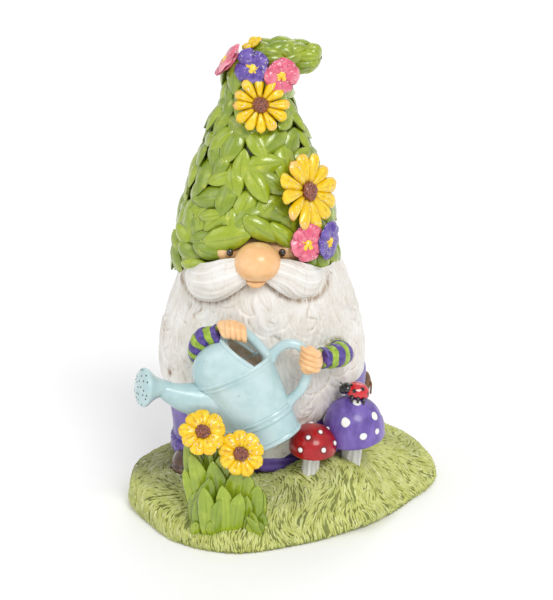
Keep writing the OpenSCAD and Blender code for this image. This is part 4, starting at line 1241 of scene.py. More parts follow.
# Half widths along a petal, from its foot to its end, for a narrow and for a broad one
SPOON = [[0, 0.16], [0.2, 0.26], [0.5, 0.42], [0.75, 0.5], [0.9, 0.42], [0.97, 0.26], [1, 0.08]]
FAN = [[0, 0.14], [0.25, 0.36], [0.55, 0.52], [0.8, 0.5], [0.93, 0.36], [0.985, 0.2], [1, 0.1]]


def faced(turn, rise):
    """Matrix of a flower whose face, +Z, looks to -Y turned about Z and raised."""
    return turned(math.radians(turn), 2) @ turned(math.radians(90 - rise), 0)


def petal(length, width, thick, lift, rng, outline=SPOON, folds=2, notch=0.0):
    """Puffy petal on XY, along +Y from the middle of the flower, facing +Z."""
    rows, across, under = 15, 13, 5
    t = np.linspace(0, 1, rows)[:, None]
    half = width * lookup(t, outline)
    s = np.linspace(-1, 1, across)[None]
    arch = (1 - np.abs(s) ** 2.6) * np.sin(math.pi * np.clip(t * 0.93 + 0.07, 0, 1)) ** 0.55
    crease = np.cos(s * math.pi * folds) * 0.5 + 0.5
    crease = crease * smooth(0, 0.25, t) * smooth(1.0, 0.75, t) * smooth(1.05, 0.8, np.abs(s))
    y = t * length * (1 + rng.uniform(-0.05, 0.05)) - notch * length * t ** 4 * bell(s, 0.35)
    wave = rng.uniform(0.15, 0.5) * np.sin(s * 3 + rng.uniform(0, 6)) * t
    top = thick * arch - 0.34 * crease * (arch > 0.2) + wave
    low_s = np.linspace(0.9, -0.9, under)[None]
    x = np.concatenate([s * half, low_s * half], 1)
    ys = np.concatenate([y, np.broadcast_to(t * length, (rows, under))], 1)
    z = np.concatenate([top, -0.5 + 0 * (low_s + t)], 1) + lift * length * t ** 1.6
    pad = np.zeros((rows, under))
    return skin(np.stack([x, ys, z], -1), groove=np.concatenate([crease, pad], 1),
                edge=np.concatenate([np.abs(s) + 0 * t, pad + 1], 1),
                along=np.concatenate([t + 0 * s, pad + t], 1), tone=rng.random())


def ring_of_petals(count, start, length, width, rng, thick, lift, **settings):
    """Petals in a ring, every second one a little higher."""
    out = []
    for n in range(count):
        a = TAU * (n + rng.uniform(-0.1, 0.1)) / count
        one = petal(length * rng.uniform(0.93, 1.07), width * rng.uniform(0.92, 1.08),
                    thick, lift + rng.uniform(-0.06, 0.06), rng, **settings)
        m = turned(a, 2) @ turned(rng.uniform(-0.12, 0.12), 1)
        out.append(one.placed(m, m @ np.array([0, start, 0.35 * (n % 2)])))
    return out


def flower_centre(r, high, bead=1.3):
    """Domed button covered in small grains."""
    q = np.linspace(0.02, math.pi / 2, 22)
    dome = lathe(np.concatenate([[[0.1, -1.2], [r * 0.9, -1.2]],
                                 np.stack([r * np.cos(q), high * np.sin(q)], 1)]), 56)
    grain = np.abs(noise(dome.points, bead, 3)) - 0.4 + 0.5 * np.abs(noise(dome.points, bead * 0.5, 8))
    dome.pushed(grain * smooth(-0.8, 0, dome.points[:, 2]) * 1.1)
    return dome.set(groove=np.clip(0.5 - grain, 0, 1))


def pansy(r, rng, lean=(0, 0)):
    """Five broad overlapping petals with ruffled rims, longer on the side it leans to."""
    out = []
    for n, a in enumerate((180, 105, -105, 35, -35)):
        wide = r * (1.3 if n == 0 else 1.12) * rng.uniform(0.92, 1.04)
        way = -math.sin(math.radians(a)) * lean[0] + math.cos(math.radians(a)) * lean[1]
        one = petal(r * (1 + way) * rng.uniform(0.95, 1.03), wide, 2.4, 0.08, rng, outline=FAN,
                    folds=2.6, notch=0.1)
        ruffle = 0.42 * np.sin(np.arctan2(one.points[:, 0], one.points[:, 1]) * 9 + n)
        one.points[:, 2] += ruffle * one.values["along"] ** 2
        m = turned(math.radians(a + rng.uniform(-8, 8)), 2)
        out.append(one.placed(m, (0, 0, 0.45 * n + 0.3)))
    backing = lathe([[0.2, -1.6], [r * 0.55, -1.2], [r * 0.7, 0.3], [r * 0.3, 1.2], [0.2, 1.3]], 30)
    return join(out + [backing.set(groove=0.3, edge=0.4, along=0.4, tone=0.5)])


def star(r, rng):
    """Uneven yellow middle of a pansy."""
    out = []
    for n in range(5):
        a = TAU * n / 5 + rng.uniform(-0.2, 0.2)
        one = petal(r * rng.uniform(1.2, 1.6), r, 0.9, 0.0, rng)
        out.append(one.placed(turned(a, 2), (0, 0, 2.6)))
    q = np.linspace(0.05, math.pi / 2, 10)
    knob = lathe(np.stack([r * 0.72 * np.cos(q), 2.8 + 1.5 * np.sin(q)], 1), 24)
    return join(out + [knob.set(groove=0.0, edge=0.0, along=0.5, tone=0.5)])


def petal_paint(name, main, light, dark, tip, specks="FFFFFF"):
    p = Paint(name, rough=0.25, coat=0.5)
    groove, edge, along, tone = [p.value(k) for k in ("groove", "edge", "along", "tone")]
    patch = p.noise(3.2, 3)
    colour = p.mix(p.ramp(patch, 0.4, 0.68), main, light)
    tipped = p.times(p.ramp(along, 0.7, 1.0), p.ramp(tone, 0.45, 0.9))
    colour = p.mix(tipped, colour, tip)
    shade = p.times(p.ramp(groove, 0.55, 1.0), p.ramp(p.noise(2.0, 4), 0.4, 0.65, 0.1, 0.6))
    colour = p.mix(shade, colour, dark)
    colour = p.mix(p.ramp(along, 0.2, 0.0, 0, 0.7), colour, dark)
    # Painted shade: the rims and undersides of the petals are darker
    colour = p.mix(p.ramp(edge, 0.93, 1.0, 0, 0.75), colour, dark)
    dots = p.times(p.specks(1.5, 0.3), p.ramp(p.noise(6, 2), 0.47, 0.56))
    p.colour(p.mix(p.times(dots, 0.85), colour, specks))
    return p.bumps((dots, 0.25), (patch, 0.15), (p.noise(0.6), 0.06))


def centre_paint(name, main, light, dark):
    p = Paint(name, rough=0.22, coat=0.6)
    groove = p.value("groove")
    colour = p.mix(p.ramp(p.noise(1.0, 3), 0.4, 0.65), main, light)
    p.colour(p.mix(p.ramp(groove, 0.45, 0.85), colour, dark))
    return p.bumps((p.noise(0.9, 3), 0.3),)


def flowers():
    """All flowers of the hat and of the bed."""
    rng = np.random.default_rng(77)
    yellow = petal_paint("yellow_petal_paint", "EEC600", "F5D62C", "C08A14", "F0BC62")
    bed_yellow = petal_paint("bed_petal_paint", "EFC000", "F7D624", "B4700F", "F2CE3E")
    purple = petal_paint("purple_petal_paint", "59409A", "7A62B6", "33225E", "8A76C4", "E4DBB8")
    pink = petal_paint("pink_petal_paint", "DE5A79", "EA8496", "A8385A", "F09DAB")
    brown = centre_paint("flower_centre_paint", "7A3B28", "A4583C", "35170F")
    gold = petal_paint("pansy_centre_paint", "F3C713", "FADB45", "B98316", "F6D95A")

    def put(shape, where):
        at, turn, rise = where[:3]
        return shape.placed(faced(turn, rise), at)

    def daisy(name, where, petals, back, button, paint):
        piece(f"{name}_head", put(join(petals + [back]), where), paint, "petal_yellow",
              f"{name}_petals")
        piece(f"{name}_button", put(button, where), brown, "flower_centre_brown",
              f"{name}_centre")

    for name, count, start, wide, core in (("sunflower_upper", 12, 3.4, 6.3, 4.3),
                                           ("sunflower_side", 12, 4.6, 9.2, 5.2)):
        where = HAT_FLOWERS[name]
        heads = ring_of_petals(count, start, where[3] - start, wide, rng, 3.3, 0.1)
        back = lathe([[0.2, -1.5], [core * 1.2, -1.2], [core * 1.5, 0.6], [0.2, 1.0]], 30)
        back.set(groove=0.8, edge=0.9, along=0.0, tone=0.5)
        button = flower_centre(core, 3.6).placed(np.eye(3), (0, 0, 2.2))
        daisy(name, where, heads, back, button, yellow)

    stars = []
    for name, paint, slot in (("pansy_purple_top", purple, "petal_purple"),
                              ("pansy_pink_top", pink, "petal_pink"),
                              ("blossom_pink_side", pink, "petal_pink"),
                              ("pansy_pink_brim", pink, "petal_pink"),
                              ("pansy_purple_brim", purple, "petal_purple")):
        where = HAT_FLOWERS[name]
        lean = {"pansy_purple_top": (-0.16, 0.14), "pansy_pink_top": (0.0, -0.14)}.get(name, (0, 0))
        piece(f"{name}_head", put(pansy(where[3], rng, lean), where), paint, slot, name)
        stars.append(put(star(3.1, rng), where))
    piece("pansy_stars", join(stars), gold, "pansy_yellow", "pansy_centres")

    where = HAT_FLOWERS["blossom_yellow_crown"]
    small = ring_of_petals(5, 0.6, 5.9, 6.0, rng, 2.0, 0.2, outline=FAN)
    bud = flower_centre(1.7, 1.8, 0.8).placed(np.eye(3), (0, 0, 1.2)).set(
        edge=0.0, along=0.3, tone=0.4)
    piece("crown_blossom", put(join(small + [bud]), where), yellow, "petal_yellow",
          "blossom_yellow_crown")

    for name, where in BED_FLOWERS.items():
        r, start = where[3], 2.6
        heads = ring_of_petals(9, start, r - start, r * 0.65, rng, 3.2, 0.02, outline=FAN,
                               folds=1.6, notch=0.1)
        back = lathe([[0.2, -2.2], [r * 0.45, -1.6], [r * 0.62, 0.6], [0.2, 1.6]], 30)
        back.set(groove=0.8, edge=0.6, along=0.1, tone=0.5)
        button = flower_centre(4.0, 2.8).placed(np.eye(3), (0, 0, 2.4))
        daisy(name, where, heads, back, button, bed_yellow)


# ---- arms -----------------------------------------------------------------------------------

SLEEVE_RIGHT = [[-44, -22, 97], [-47.5, -33, 101], [-48, -39.5, 109], [-44.5, -43, 116.3],
                [-35.5, -45.5, 119.6]]
SLEEVE_LEFT = [[21, -13, 97], [29, -20, 99.5], [32.3, -28, 101.3], [28.6, -37, 103],
               [21, -44.5, 104.2]]


def sleeve(name, path, radii, bands, node, paint):
    """Sleeve that bulges between its stripes and closes round the wrist."""
    count, sides = 150, 56
    line = spline(path, count)
    t = np.linspace(0, 1, count)
    r = np.interp(t, np.linspace(0, 1, 5), radii)
    r = np.convolve(np.pad(r, 8, mode="edge"), np.ones(17) / 17, "valid")
    bulge = 0.45 * np.abs(np.sin(math.pi * bands * t)) ** 0.6
    cuff = 0.5 * bell(t - 0.975, 0.02)
    tube = sweep(line, r + bulge + cuff, r + bulge + cuff, (0, 0, 1), sides)
    a = angles(sides, count)
    along = np.repeat(t, sides)
    warp = along * bands + 0.10 * np.sin(a * 2 + 1) + 0.05 * np.sin(a * 5)
    stripe = capped(np.clip(0.3 - 6 * np.sin(math.pi * warp), 0, 1))
    gap = capped(bell(warp - np.round(warp), 0.055))
    wrinkle = capped(0.35 * np.sin(a * 3 + along * 20) * np.sin(along * 9))
    tube.set(stripe=stripe, gap=gap).pushed(wrinkle - 0.35 * gap)
    piece(name, tube, paint, "sleeve_stripes", node)


def sleeve_paint():
    p = Paint("sleeve_paint", rough=0.4, coat=0.25)
    fine = p.noise(2.5, 4)
    purple = p.mix(p.ramp(fine, 0.35, 0.65), "3F2C78", "5D49A0")
    lime = p.mix(p.ramp(fine, 0.35, 0.65), "7A9A1C", "A3BE3A")
    striped = p.mix(p.value("stripe"), purple, lime)
    p.colour(p.mix(p.ramp(p.value("gap"), 0.3, 1.0, 0, 0.65), striped, "22183A"))
    return p.bumps((fine, 0.3), (p.noise(0.6, 2), 0.06))


# Fist: x of its first finger, step to the next one, slant and width
FINGER_FIRST, FINGER_STEP, FIST_SLANT, FIST_WIDE = -3.8, 3.3, 0.22, 0.93


def finger(x, long):
    """Finger at x, curled round a tube that lies along X."""
    path = spline([[x * 0.8, 1.5, 6.6 * long], [x * 0.95, -2.6, 6.9 * long], [x, -5.6, 4.6],
                   [x * 1.02, -6.6, 1.0], [x, -5.8, -2.6], [x * 0.95, -3.2, -5.0],
                   [x * 0.9, -0.8, -5.4]], 34)
    t = np.linspace(0, 1, 34)
    r = 2.25 - 0.35 * t + 0.18 * bell(t - 0.38, 0.08) + 0.14 * bell(t - 0.68, 0.08)
    r = r * np.clip(np.sin(math.pi * np.clip(t * 0.97 + 0.02, 0, 1)) * 5, 0.3, 1)
    return sweep(path, r * 0.97, r, (1, 0, 0), 18)


def open_fist(back):
    """Palm, knuckles, fingers, thumb and wrist of a fist, as one shape."""
    parts = [ball(5.9, 7.4, 40, 24, 0.08, 0.85).placed(turned(math.pi / 2, 1), (0, 1.2, 1.2)),
             ball(6.1, 5.6, 36, 24, 0.08).placed(np.eye(3), back)]
    parts += [finger(FINGER_FIRST + FINGER_STEP * i, 1.0 - 0.08 * abs(i - 1.3)) for i in range(4)]
    thumb = spline([[-5.5, 2.5, 3], [-7.4, -1.5, 1], [-6.8, -4.6, -2.2], [-4.4, -5.6, -4.4]], 20)
    parts.append(sweep(thumb, 2.1, 2.0, (0, 0, 1), 16))
    cuff = lathe([[4.4, -3.4], [5.0, -2], [5.1, 1], [4.4, 3]], 32)
    parts.append(cuff.placed(turned(math.pi / 2, 0), (0.5, 5.2, 0.5)))
    return join(parts)


def blended(obj):
    """Melts the parts of an object together and gives back its new mesh."""
    remesh = obj.modifiers.new("blend", "REMESH")
    remesh.mode, remesh.voxel_size = "VOXEL", 0.42 * MM
    relax = obj.modifiers.new("relax", "SMOOTH")
    relax.factor, relax.iterations = 0.6, 4
    depsgraph = bpy.context.evaluated_depsgraph_get()
    mesh = bpy.data.meshes.new_from_object(obj.evaluated_get(depsgraph))
    obj.modifiers.clear()
    obj.data = mesh
    mesh.shade_smooth()
    return mesh


def fist(at, about_y, mirror, paint, name, node, back, squash):
    """Small fist of four fingers curled round a tube, with a thumb along it."""
    shape = open_fist(back)
    shape.points[:, 0] -= FIST_SLANT * shape.points[:, 2]
    shape = shape.placed(np.diag([FIST_WIDE, 1, squash]))
    if mirror:
        shape = shape.placed(np.diag([-1, 1, 1]))
    shape = shape.placed(turned(math.radians(about_y), 1), at)
    shape.set(hollow=0.0)
    mesh = blended(piece(name, shape, paint, "skin", node))
    points = np.zeros(len(mesh.vertices) * 3)
    mesh.vertices.foreach_get("co", points)
    points = points.reshape(-1, 3) / MM
    normals = np.zeros(len(mesh.vertices) * 3)
    mesh.vertices.foreach_get("normal", normals)
    local = (points - at) @ turned(math.radians(about_y), 1)
    if mirror:
        local = local * [-1, 1, 1]
    local = local / [FIST_WIDE, 1, squash]
    local[:, 0] += FIST_SLANT * local[:, 2]
    fingers = smooth(-1, -4, local[:, 1]) * smooth(3.5, 6.5, np.linalg.norm(local - back, axis=1))
    between = ((local[:, 0] - FINGER_FIRST) / FINGER_STEP + 0.5) % 1
    between = np.minimum(between, 1 - between)
    crease = bell(between, 0.10) * fingers * smooth(7, 6, np.abs(local[:, 0]))
    points = points - normals.reshape(-1, 3) * (0.3 * crease)[:, None]
    mesh.vertices.foreach_set("co", (points * MM).ravel())
    if "hollow" in mesh.attributes:
        mesh.attributes.remove(mesh.attributes["hollow"])
    mesh.attributes.new("hollow", "FLOAT", "POINT").data.foreach_set("value", crease * 0.4)
    mesh.update()


def arms(skin_finish):
    paint = sleeve_paint()
    sleeve("sleeve_tube_right", SLEEVE_RIGHT, [4.6, 5.2, 5.6, 5.4, 4.8], 11, "sleeve_right", paint)
    sleeve("sleeve_tube_left", SLEEVE_LEFT, [5.8, 7.0, 7.2, 6.3, 5.2], 9, "sleeve_left", paint)
    fist(np.array([-27.6, -46.5, 121.8]), 14, False, skin_finish, "fist_right", "hand_right",
         (-4.6, -0.6, 1.2), 0.68)
    fist(np.array([14.6, -46.5, 105.2]), 96, True, skin_finish, "fist_left", "hand_left",
         (0.5, -0.8, 4.2), 0.82)


# ---- watering can ---------------------------------------------------------------------------

# Height of the can, radius at its rim and foot, depth as a share of width, and its wall
CAN_H, CAN_RIM, CAN_FOOT, CAN_DEPTH, CAN_WALL = 48.0, 23.0, 19.2, 0.62, 2.2
CAN_INSIDE = 14                         # last points of its profile, which are inside it
# Points round the can, height of its hood, and height above which the beard is clear of it
CAN_SIDES, HOOD_H, HOOD_CLEAR = 128, 19.6, 20.5
SPOUT_NECK = np.array([-70.5, -50.5, 89.0])
ROSE_TURN = math.radians(23)            # the rose's face is turned a little to the front
# Rose: radius, height of its domed face and how far that face is from the spout's neck
ROSE_R, ROSE_DOME, ROSE_FACE = 11.0, 3.2, 8.8
TOP_HANDLE = [[-34.5, -46, 113], [-33.4, -46, 117], [-31, -46, 120.2], [-27, -46, 121.9],
              [-22.4, -46, 120.8], [-17.8, -46, 117.2], [-13, -46, 111.8], [-8.4, -46, 105.5]]
SIDE_HANDLE = [[-8, -46, 104.5], [-4.4, -46, 109.5], [0, -46, 112.8], [5, -46, 113.8],
               [10, -46, 111.6], [13.2, -46, 106.5], [14, -46, 99.5], [12.2, -46, 91],
               [8.6, -46, 84.4], [2, -46, 78]]


def in_can(shape):
    """Turns a shape made in the can's own frame, +Z out of its mouth, into place."""
    return shape.placed(turned(-CAN_LEAN, 1), RIM_AT)


def can_wall_r(z):
    """Radius of the can's wall at height z below its rim."""
    return CAN_RIM + (CAN_FOOT - CAN_RIM) * (-z / CAN_H)


def oval(profile):
    """Oval surface of the can from [distance outside the wall's line, z] points."""
    a = angles(CAN_SIDES)
    rings = []
    for off, z in profile:
        r = can_wall_r(z)
        rings.append(np.stack([(r + off) * np.cos(a), (r * CAN_DEPTH + off) * np.sin(a),
                               np.full(CAN_SIDES, float(z))], 1))
    return skin(np.array(rings))


def can_profile():
    """Foot bead, double ridge of the middle band, rolled rim and the wall inside."""
    out = [(-CAN_FOOT * 0.55, -CAN_H + 0.9), (-1.6, -CAN_H + 0.5), (-0.4, -CAN_H), (0.6, -CAN_H + 0.2),
           (1.0, -CAN_H + 1.0), (0.8, -CAN_H + 2.0), (0.05, -CAN_H + 2.7), (0, -CAN_H + 3.6)]
    for z in np.linspace(-CAN_H + 5, -35.6, 8):
        out.append((0, z))
    for ridge in (-34.2, -31.2):
        for d, off in ((-1.1, 0.0), (-0.6, 0.35), (0, 0.8), (0.6, 0.35), (1.1, 0.05)):
            out.append((off + (0.15 if ridge > -32 and d < 0 else 0), ridge + d))
    for z in np.linspace(-29, -5.6, 14):
        out.append((0, z))
    for d, off in ((-4.6, 0.1), (-4.1, 0.55), (-3.5, 0.1), (-2.4, 0.05), (-1.8, 0.7), (-0.9, 0.95),
                   (-0.1, 0.75), (0.25, 0.1), (0.1, -0.9), (-0.3, -CAN_WALL)):
        out.append((off, d))
    for z in np.linspace(-2, -6.5, 8):
        out.append((-CAN_WALL, z))
    for off, z in ((-3.0, -7.8), (-4.4, -8.6), (-7, -9.2), (-10, -9.5), (-14.2, -9.6)):
        out.append((off, z))
    return out


def can_body():
    """Vessel of the can with its ridges, open at the mouth."""
    shape = oval(can_profile())
    z, p = shape.points[:, 2], shape.points
    row = np.arange(len(p)) // CAN_SIDES
    inside = (row >= len(can_profile()) - CAN_INSIDE).astype(float) * (z < -0.4)
    ridges = sum(bell(z - at, 0.35) for at in (-35.4, -32.7, -30.0, -5.2, -2.9, -45.2))
    shape.set(inside=inside, groove=np.clip(ridges, 0, 1) * (1 - inside))
    shape.pushed(0.14 * layered(p, 11, 2, 5) * (1 - inside))
    return in_can(shape)


def can_hood():
    """Half dome over the spout side of the mouth, cut by a slanting plane."""
    def half_sizes(s):
        return CAN_RIM * s + 0.3, CAN_RIM * CAN_DEPTH * s + 0.3

    def cut_x(z):
        return 2 + (HOOD_H - z) * slope

    rows = spline([[0, 1], [5, 0.985], [10, 0.9], [14, 0.76], [17, 0.56], [19, 0.3],
                   [HOOD_H, 0.02]], 40)
    a = angles(CAN_SIDES)
    rings = []
    for wall, line in ((0, rows), (CAN_WALL, rows[::-1])):
        for z, s in line:
            r, d = [max(0.2, half - wall) for half in half_sizes(s)]
            rings.append(np.stack([r * np.cos(a), d * np.sin(a),
                                   np.full(CAN_SIDES, max(-0.5, z - wall * (z > 4)))], 1))
    shell = skin(np.array(rings), caps=False)
    slope = math.tan(math.radians(28))
    reach = shell.points[:, 0] - cut_x(shell.points[:, 2])
    keep = (reach[shell.faces] <= 0).any(1)
    cut = reach > 0
    shell.points[cut, 0] -= reach[cut]
    shell.faces = shell.faces[keep]
    inner = np.arange(len(shell.points)) >= len(rows) * CAN_SIDES
    shell.set(inside=inner, groove=0.0)
    edge = []
    for z, s in rows:
        x, (r, d) = cut_x(z), half_sizes(s)
        if abs(x) < r:
            edge.append([x, d * math.sqrt(1 - (x / r) ** 2), z])
    edge = np.array(edge)
    rim = np.concatenate([edge, (edge * [1, -1, 1])[::-1]])
    rim = spline(rim - [0.4, 0, 0], 90)
    rim[:, 1] *= 0.955
    lip = sweep(rim, CAN_WALL * 0.62, CAN_WALL * 0.62, (1, 0, 0), 14).set(inside=0.0, groove=0.0)
    return join([in_can(shell), in_can(lip)])


def spout():
    """Tapering spout that swells softly into the can."""
    # Middle line of the spout and its radius, from inside the can outwards
    rows = spline([[-29, -45.5, 79, 8], [-37, -45.8, 79.3, 10.3], [-46.7, -46.8, 80.3, 9.9],
                   [-55, -48, 82, 8.7], [-63.5, -49.4, 85.4, 6.2], [-70.5, -50.5, 88.8, 3.9],
                   [-72, -50.7, 89.6, 3.8]], 70)
    tube = sweep(rows[:, :3], rows[:, 3] * 0.92, rows[:, 3], (0, 1, 0), 64)
    tube.set(inside=0.0, groove=0.5 * bell(tube.points[:, 0] + 48, 2.5))
    return tube.pushed(0.12 * layered(tube.points, 8, 2, 15))


def rose():
    """Flared head of the spout with rings of holes in its domed face."""
    q = np.linspace(0, math.pi / 2, 16)
    flare = [[4.0, -7], [4.4, -5], [5.0, -2.2], [6.0, 0.6], [7.5, 3.2], [9.3, 5.4], [10.6, 7.0],
             [ROSE_R, 7.9], [ROSE_R + 0.15, 8.5]]
    face_line = np.stack([(ROSE_R + 0.15) * np.cos(q), ROSE_FACE + ROSE_DOME * np.sin(q)], 1)
    body = lathe(np.concatenate([spline(flare, 26), face_line]), 72)
    holes = []
    for ring, count in ((0.02, 1), (0.34, 5), (0.64, 9), (0.9, 12)):
        for n in range(count):
            a = TAU * (n + 0.3 * math.sin(n * 2.4 + ring * 9)) / count
            r = ROSE_R * ring
            z = ROSE_FACE + ROSE_DOME * math.sqrt(1 - ring ** 2)
            out = unit(np.array([r / ROSE_R ** 2, 0, (z - ROSE_FACE) / ROSE_DOME ** 2]))
            m = turned(a, 2) @ frame_of(out, [0, 1.0, 0.001])
            pit = lathe([[0.55, 0.04], [0.5, 0.14], [0.02, 0.12]], 10)
            holes.append(pit.placed(m, turned(a, 2) @ np.array([r, 0, z])).set(
                inside=0.0, groove=0.0, hole=1.0))
    body.set(inside=0.0, groove=0.0, hole=0.0)
    m = turned(ROSE_TURN, 2) @ turned(math.radians(-80), 1)
    return join([body] + holes).placed(m, SPOUT_NECK)


def can():
    """The watering can with its hood, spout, rose and two handles."""
    paint = can_paint()
    piece("can_vessel", can_body(), paint, "can_aqua", "can_body")
    piece("can_half_dome", can_hood(), paint, "can_aqua", "can_hood")
    piece("can_spout_tube", spout(), paint, "can_aqua", "can_spout")
    piece("can_rose_head", rose(), paint, "can_aqua", "can_rose")
    for name, path, node in (("can_handle_top", TOP_HANDLE, "can_top_handle"),
                             ("can_handle_side", SIDE_HANDLE, "can_side_handle")):
        line = spline(path, 120)
        t = np.linspace(0, 1, 120)
        r = 2.8 + 1.5 * bell(t, 0.05) + 1.5 * bell(1 - t, 0.05)
        tube = sweep(line, r, r, (0, 1, 0), 26).set(inside=0.0, groove=0.0)
        piece(name, tube.pushed(0.1 * layered(tube.points, 6, 2, 4)), paint, "can_aqua", node)


def can_paint():
    p = Paint("can_paint", rough=0.3, coat=0.35)
    inside, groove = p.value("inside"), p.value("groove")
    patch = p.noise(16, 4)
    aqua = p.mix(p.ramp(patch, 0.35, 0.68), "ABC8CB", "C0D7D9")
    aqua = p.mix(p.ramp(groove, 0.3, 1.0, 0, 0.55), aqua, "7DA9AF")
    worn = p.times(p.ramp(p.noise(1.6, 5), 0.6, 0.72), p.ramp(p.noise(11, 3), 0.5, 0.64))
    aqua = p.mix(p.times(worn, 0.55), aqua, "8E8A63")
    dark = p.mix(p.ramp(p.noise(5, 3), 0.35, 0.65), "D6C4AC", "E8DCCB")
    aqua = p.mix(inside, aqua, dark)
    p.colour(p.mix(p.value("hole"), aqua, "35423F"))
    return p.bumps((p.noise(6, 3), 0.25), (p.noise(0.9, 3), 0.06))


# ---- flower bed ---------------------------------------------------------------------------

BLADE = [[0, 0.18], [0.2, 0.4], [0.45, 0.5], [0.7, 0.46], [0.86, 0.3], [0.95, 0.14], [1, 0.02]]
# Blades of the bed: x, y, length, width, lean sideways and forwards in degrees, bend
BED_BLADES = [
    [-45, -64, 46, 13, 5, 2, -0.24], [-40, -63, 48, 14, 4, 2, 0.1],
    [-35, -66, 43, 15, -2, 2, -0.08], [-31, -64, 44, 14, -3, 2, 0.1],
    [-27, -66, 41, 16, -4, 4, 0.14], [-49.5, -62, 34, 10, 4, 5, -0.26],
    [-22, -65, 35, 14, -4, 5, 0.14],
    [-48.5, -61, 51, 14, 5, 0, -0.2], [-43, -61, 52, 15, 3, 0, 0.06], [-37, -61, 53, 15, 0, 0, -0.1],
    [-31, -61, 51, 15, -2, 0, 0.12], [-25, -61, 46, 15, -6, 2, 0.2],
    [-46, -68, 36, 13, 2, 3, 0.1], [-50.5, -63.5, 25, 10, 5, 6, 0.05],
    [-48, -67.5, 29, 10.5, 3, 6, 0.08],
    [-43.5, -70.5, 33, 11, 5, 6, -0.12], [-38, -71, 25, 10, -4, 8, 0.16],
    [-33, -71, 33, 12, 6, 5, -0.14], [-27.5, -70, 30, 12, -3, 9, 0.16], [-22, -68.5, 25, 11, -8, 6, 0.2],
    [-16.5, -66, 29, 12, -8, 6, 0.22], [-13, -62, 22, 11, -14, 8, 0.24]]
BED_STEMS = [[[-36, -63, 14], [-38, -64, 34], [-41, -63.5, 54], [-43.4, -65.2, 66]],
             [[-31, -65, 14], [-29, -66, 32], [-26, -67.2, 47], [-24.2, -69.4, 56]]]


def bed():
    """Blades and stems of the flower bed."""
    rng = np.random.default_rng(9)
    parts = []
    for x, y, length, width, side, forward, bend in BED_BLADES:
        one = leaf(length, width, 2.2, rng.uniform(0.0, 0.09), rng, outline=BLADE, veins=0,
                   vein_depth=0.3, bend=bend)
        m = (turned(math.radians(forward), 0) @ turned(math.radians(side), 1)
             @ turned(math.pi / 2, 0))
        parts.append(one.placed(m, (x, y, 6 + 0.7 * abs(y + 70))))
    for _ in range(34):
        x, y = rng.uniform(-53, -9), rng.uniform(-72, -62)
        length = rng.uniform(10, 20)
        one = leaf(length, rng.uniform(4, 7.5), 1.2, rng.uniform(0.0, 0.15), rng, outline=BLADE,
                   veins=0, vein_depth=0.3)
        m = (turned(rng.uniform(0.02, 0.3), 0) @ turned(-0.012 * (x + 32) + rng.normal(0, 0.14), 1)
             @ turned(math.pi / 2, 0))
        parts.append(one.placed(m, (x, y, 5)))
    # A filler under the blades, painted dark all over as shade between them
    heart = lathe([[15, 4], [13.5, 12], [9, 22], [3, 27], [0.3, 28]], 40)
    heart = heart.placed(np.diag([1.25, 0.5, 1]), (-34, -60, 0)).set(
        groove=0.8, edge=1.0, tone=0.2, depth=0.7)
    paint = leaf_paint("bed_leaf_paint", "99AF24", "839B1E", "B1C33C", "47580F")
    piece("bed_blades", join(parts + [heart]), paint, "bed_green", "bed_leaves")
    stems = []
    for path in BED_STEMS:
        line = spline(path, 40)
        t = np.linspace(0, 1, 40)
        stem = sweep(line, 2.1 - 0.4 * t, 2.1 - 0.4 * t, (0, 1, 0), 18)
        a = capped(angles(18, 40))
        stem.pushed(0.18 * np.cos(a * 5))
        stems.append(stem.set(groove=0.3 - 0.3 * np.cos(a * 5), edge=0.2, tone=0.4, depth=0.1))
    piece("bed_stalks", join(stems), paint, "bed_green", "bed_stems")


# ---- mushrooms and ladybird ---------------------------------------------------------------

RED_AT, PURPLE_AT = np.array([16.8, -39.5, 48.3]), np.array([41.0, -26.0, 51.4])
RED_R, RED_H, PURPLE_R, PURPLE_H = 13.6, 13.6, 17.8, 23.4
# Dots of the caps: degrees from the front, how far up from the rim (0 to 1) and radius
RED_DOTS = [(-20, 0.55, 1.4), (40, 0.72, 1.3), (-33, 0.16, 1.5), (27, 0.2, 1.5),
            (73, 0.24, 1.4), (120, 0.5, 1.5), (155, 0.25, 1.6), (-100, 0.45, 1.5),
            (-140, 0.3, 1.5), (-170, 0.65, 1.4)]
PURPLE_DOTS = [(-16, 0.43, 2.7), (38, 0.79, 2.4), (58, 0.4, 2.4), (18, 0.16, 2.0),
               (50, 0.15, 1.7), (98, 0.3, 2.4), (138, 0.6, 2.6), (-92, 0.3, 2.7),
               (-130, 0.62, 2.4), (178, 0.2, 2.6)]
# Ladybird: place, radius of its shell and the shell's height as a share of that
BUG_AT, BUG_R, BUG_RISE = np.array([42.4, -25.5, 76.4]), 7.0, 0.86


def cap_point(r, h, a, up):
    """Point of a domed cap at angle a from the front, up from its rim (0) to its top (1)."""
    q = up * math.pi / 2
    swell = 1 + 0.05 * math.sin(q * 2)
    at = np.array([r * swell * math.cos(q) * math.sin(a), -r * swell * math.cos(q) * math.cos(a),
                   h * math.sin(q) ** 0.95])
    out = unit(np.array([at[0] / r ** 2, at[1] / r ** 2, at[2] / h ** 2]))
    return at, out


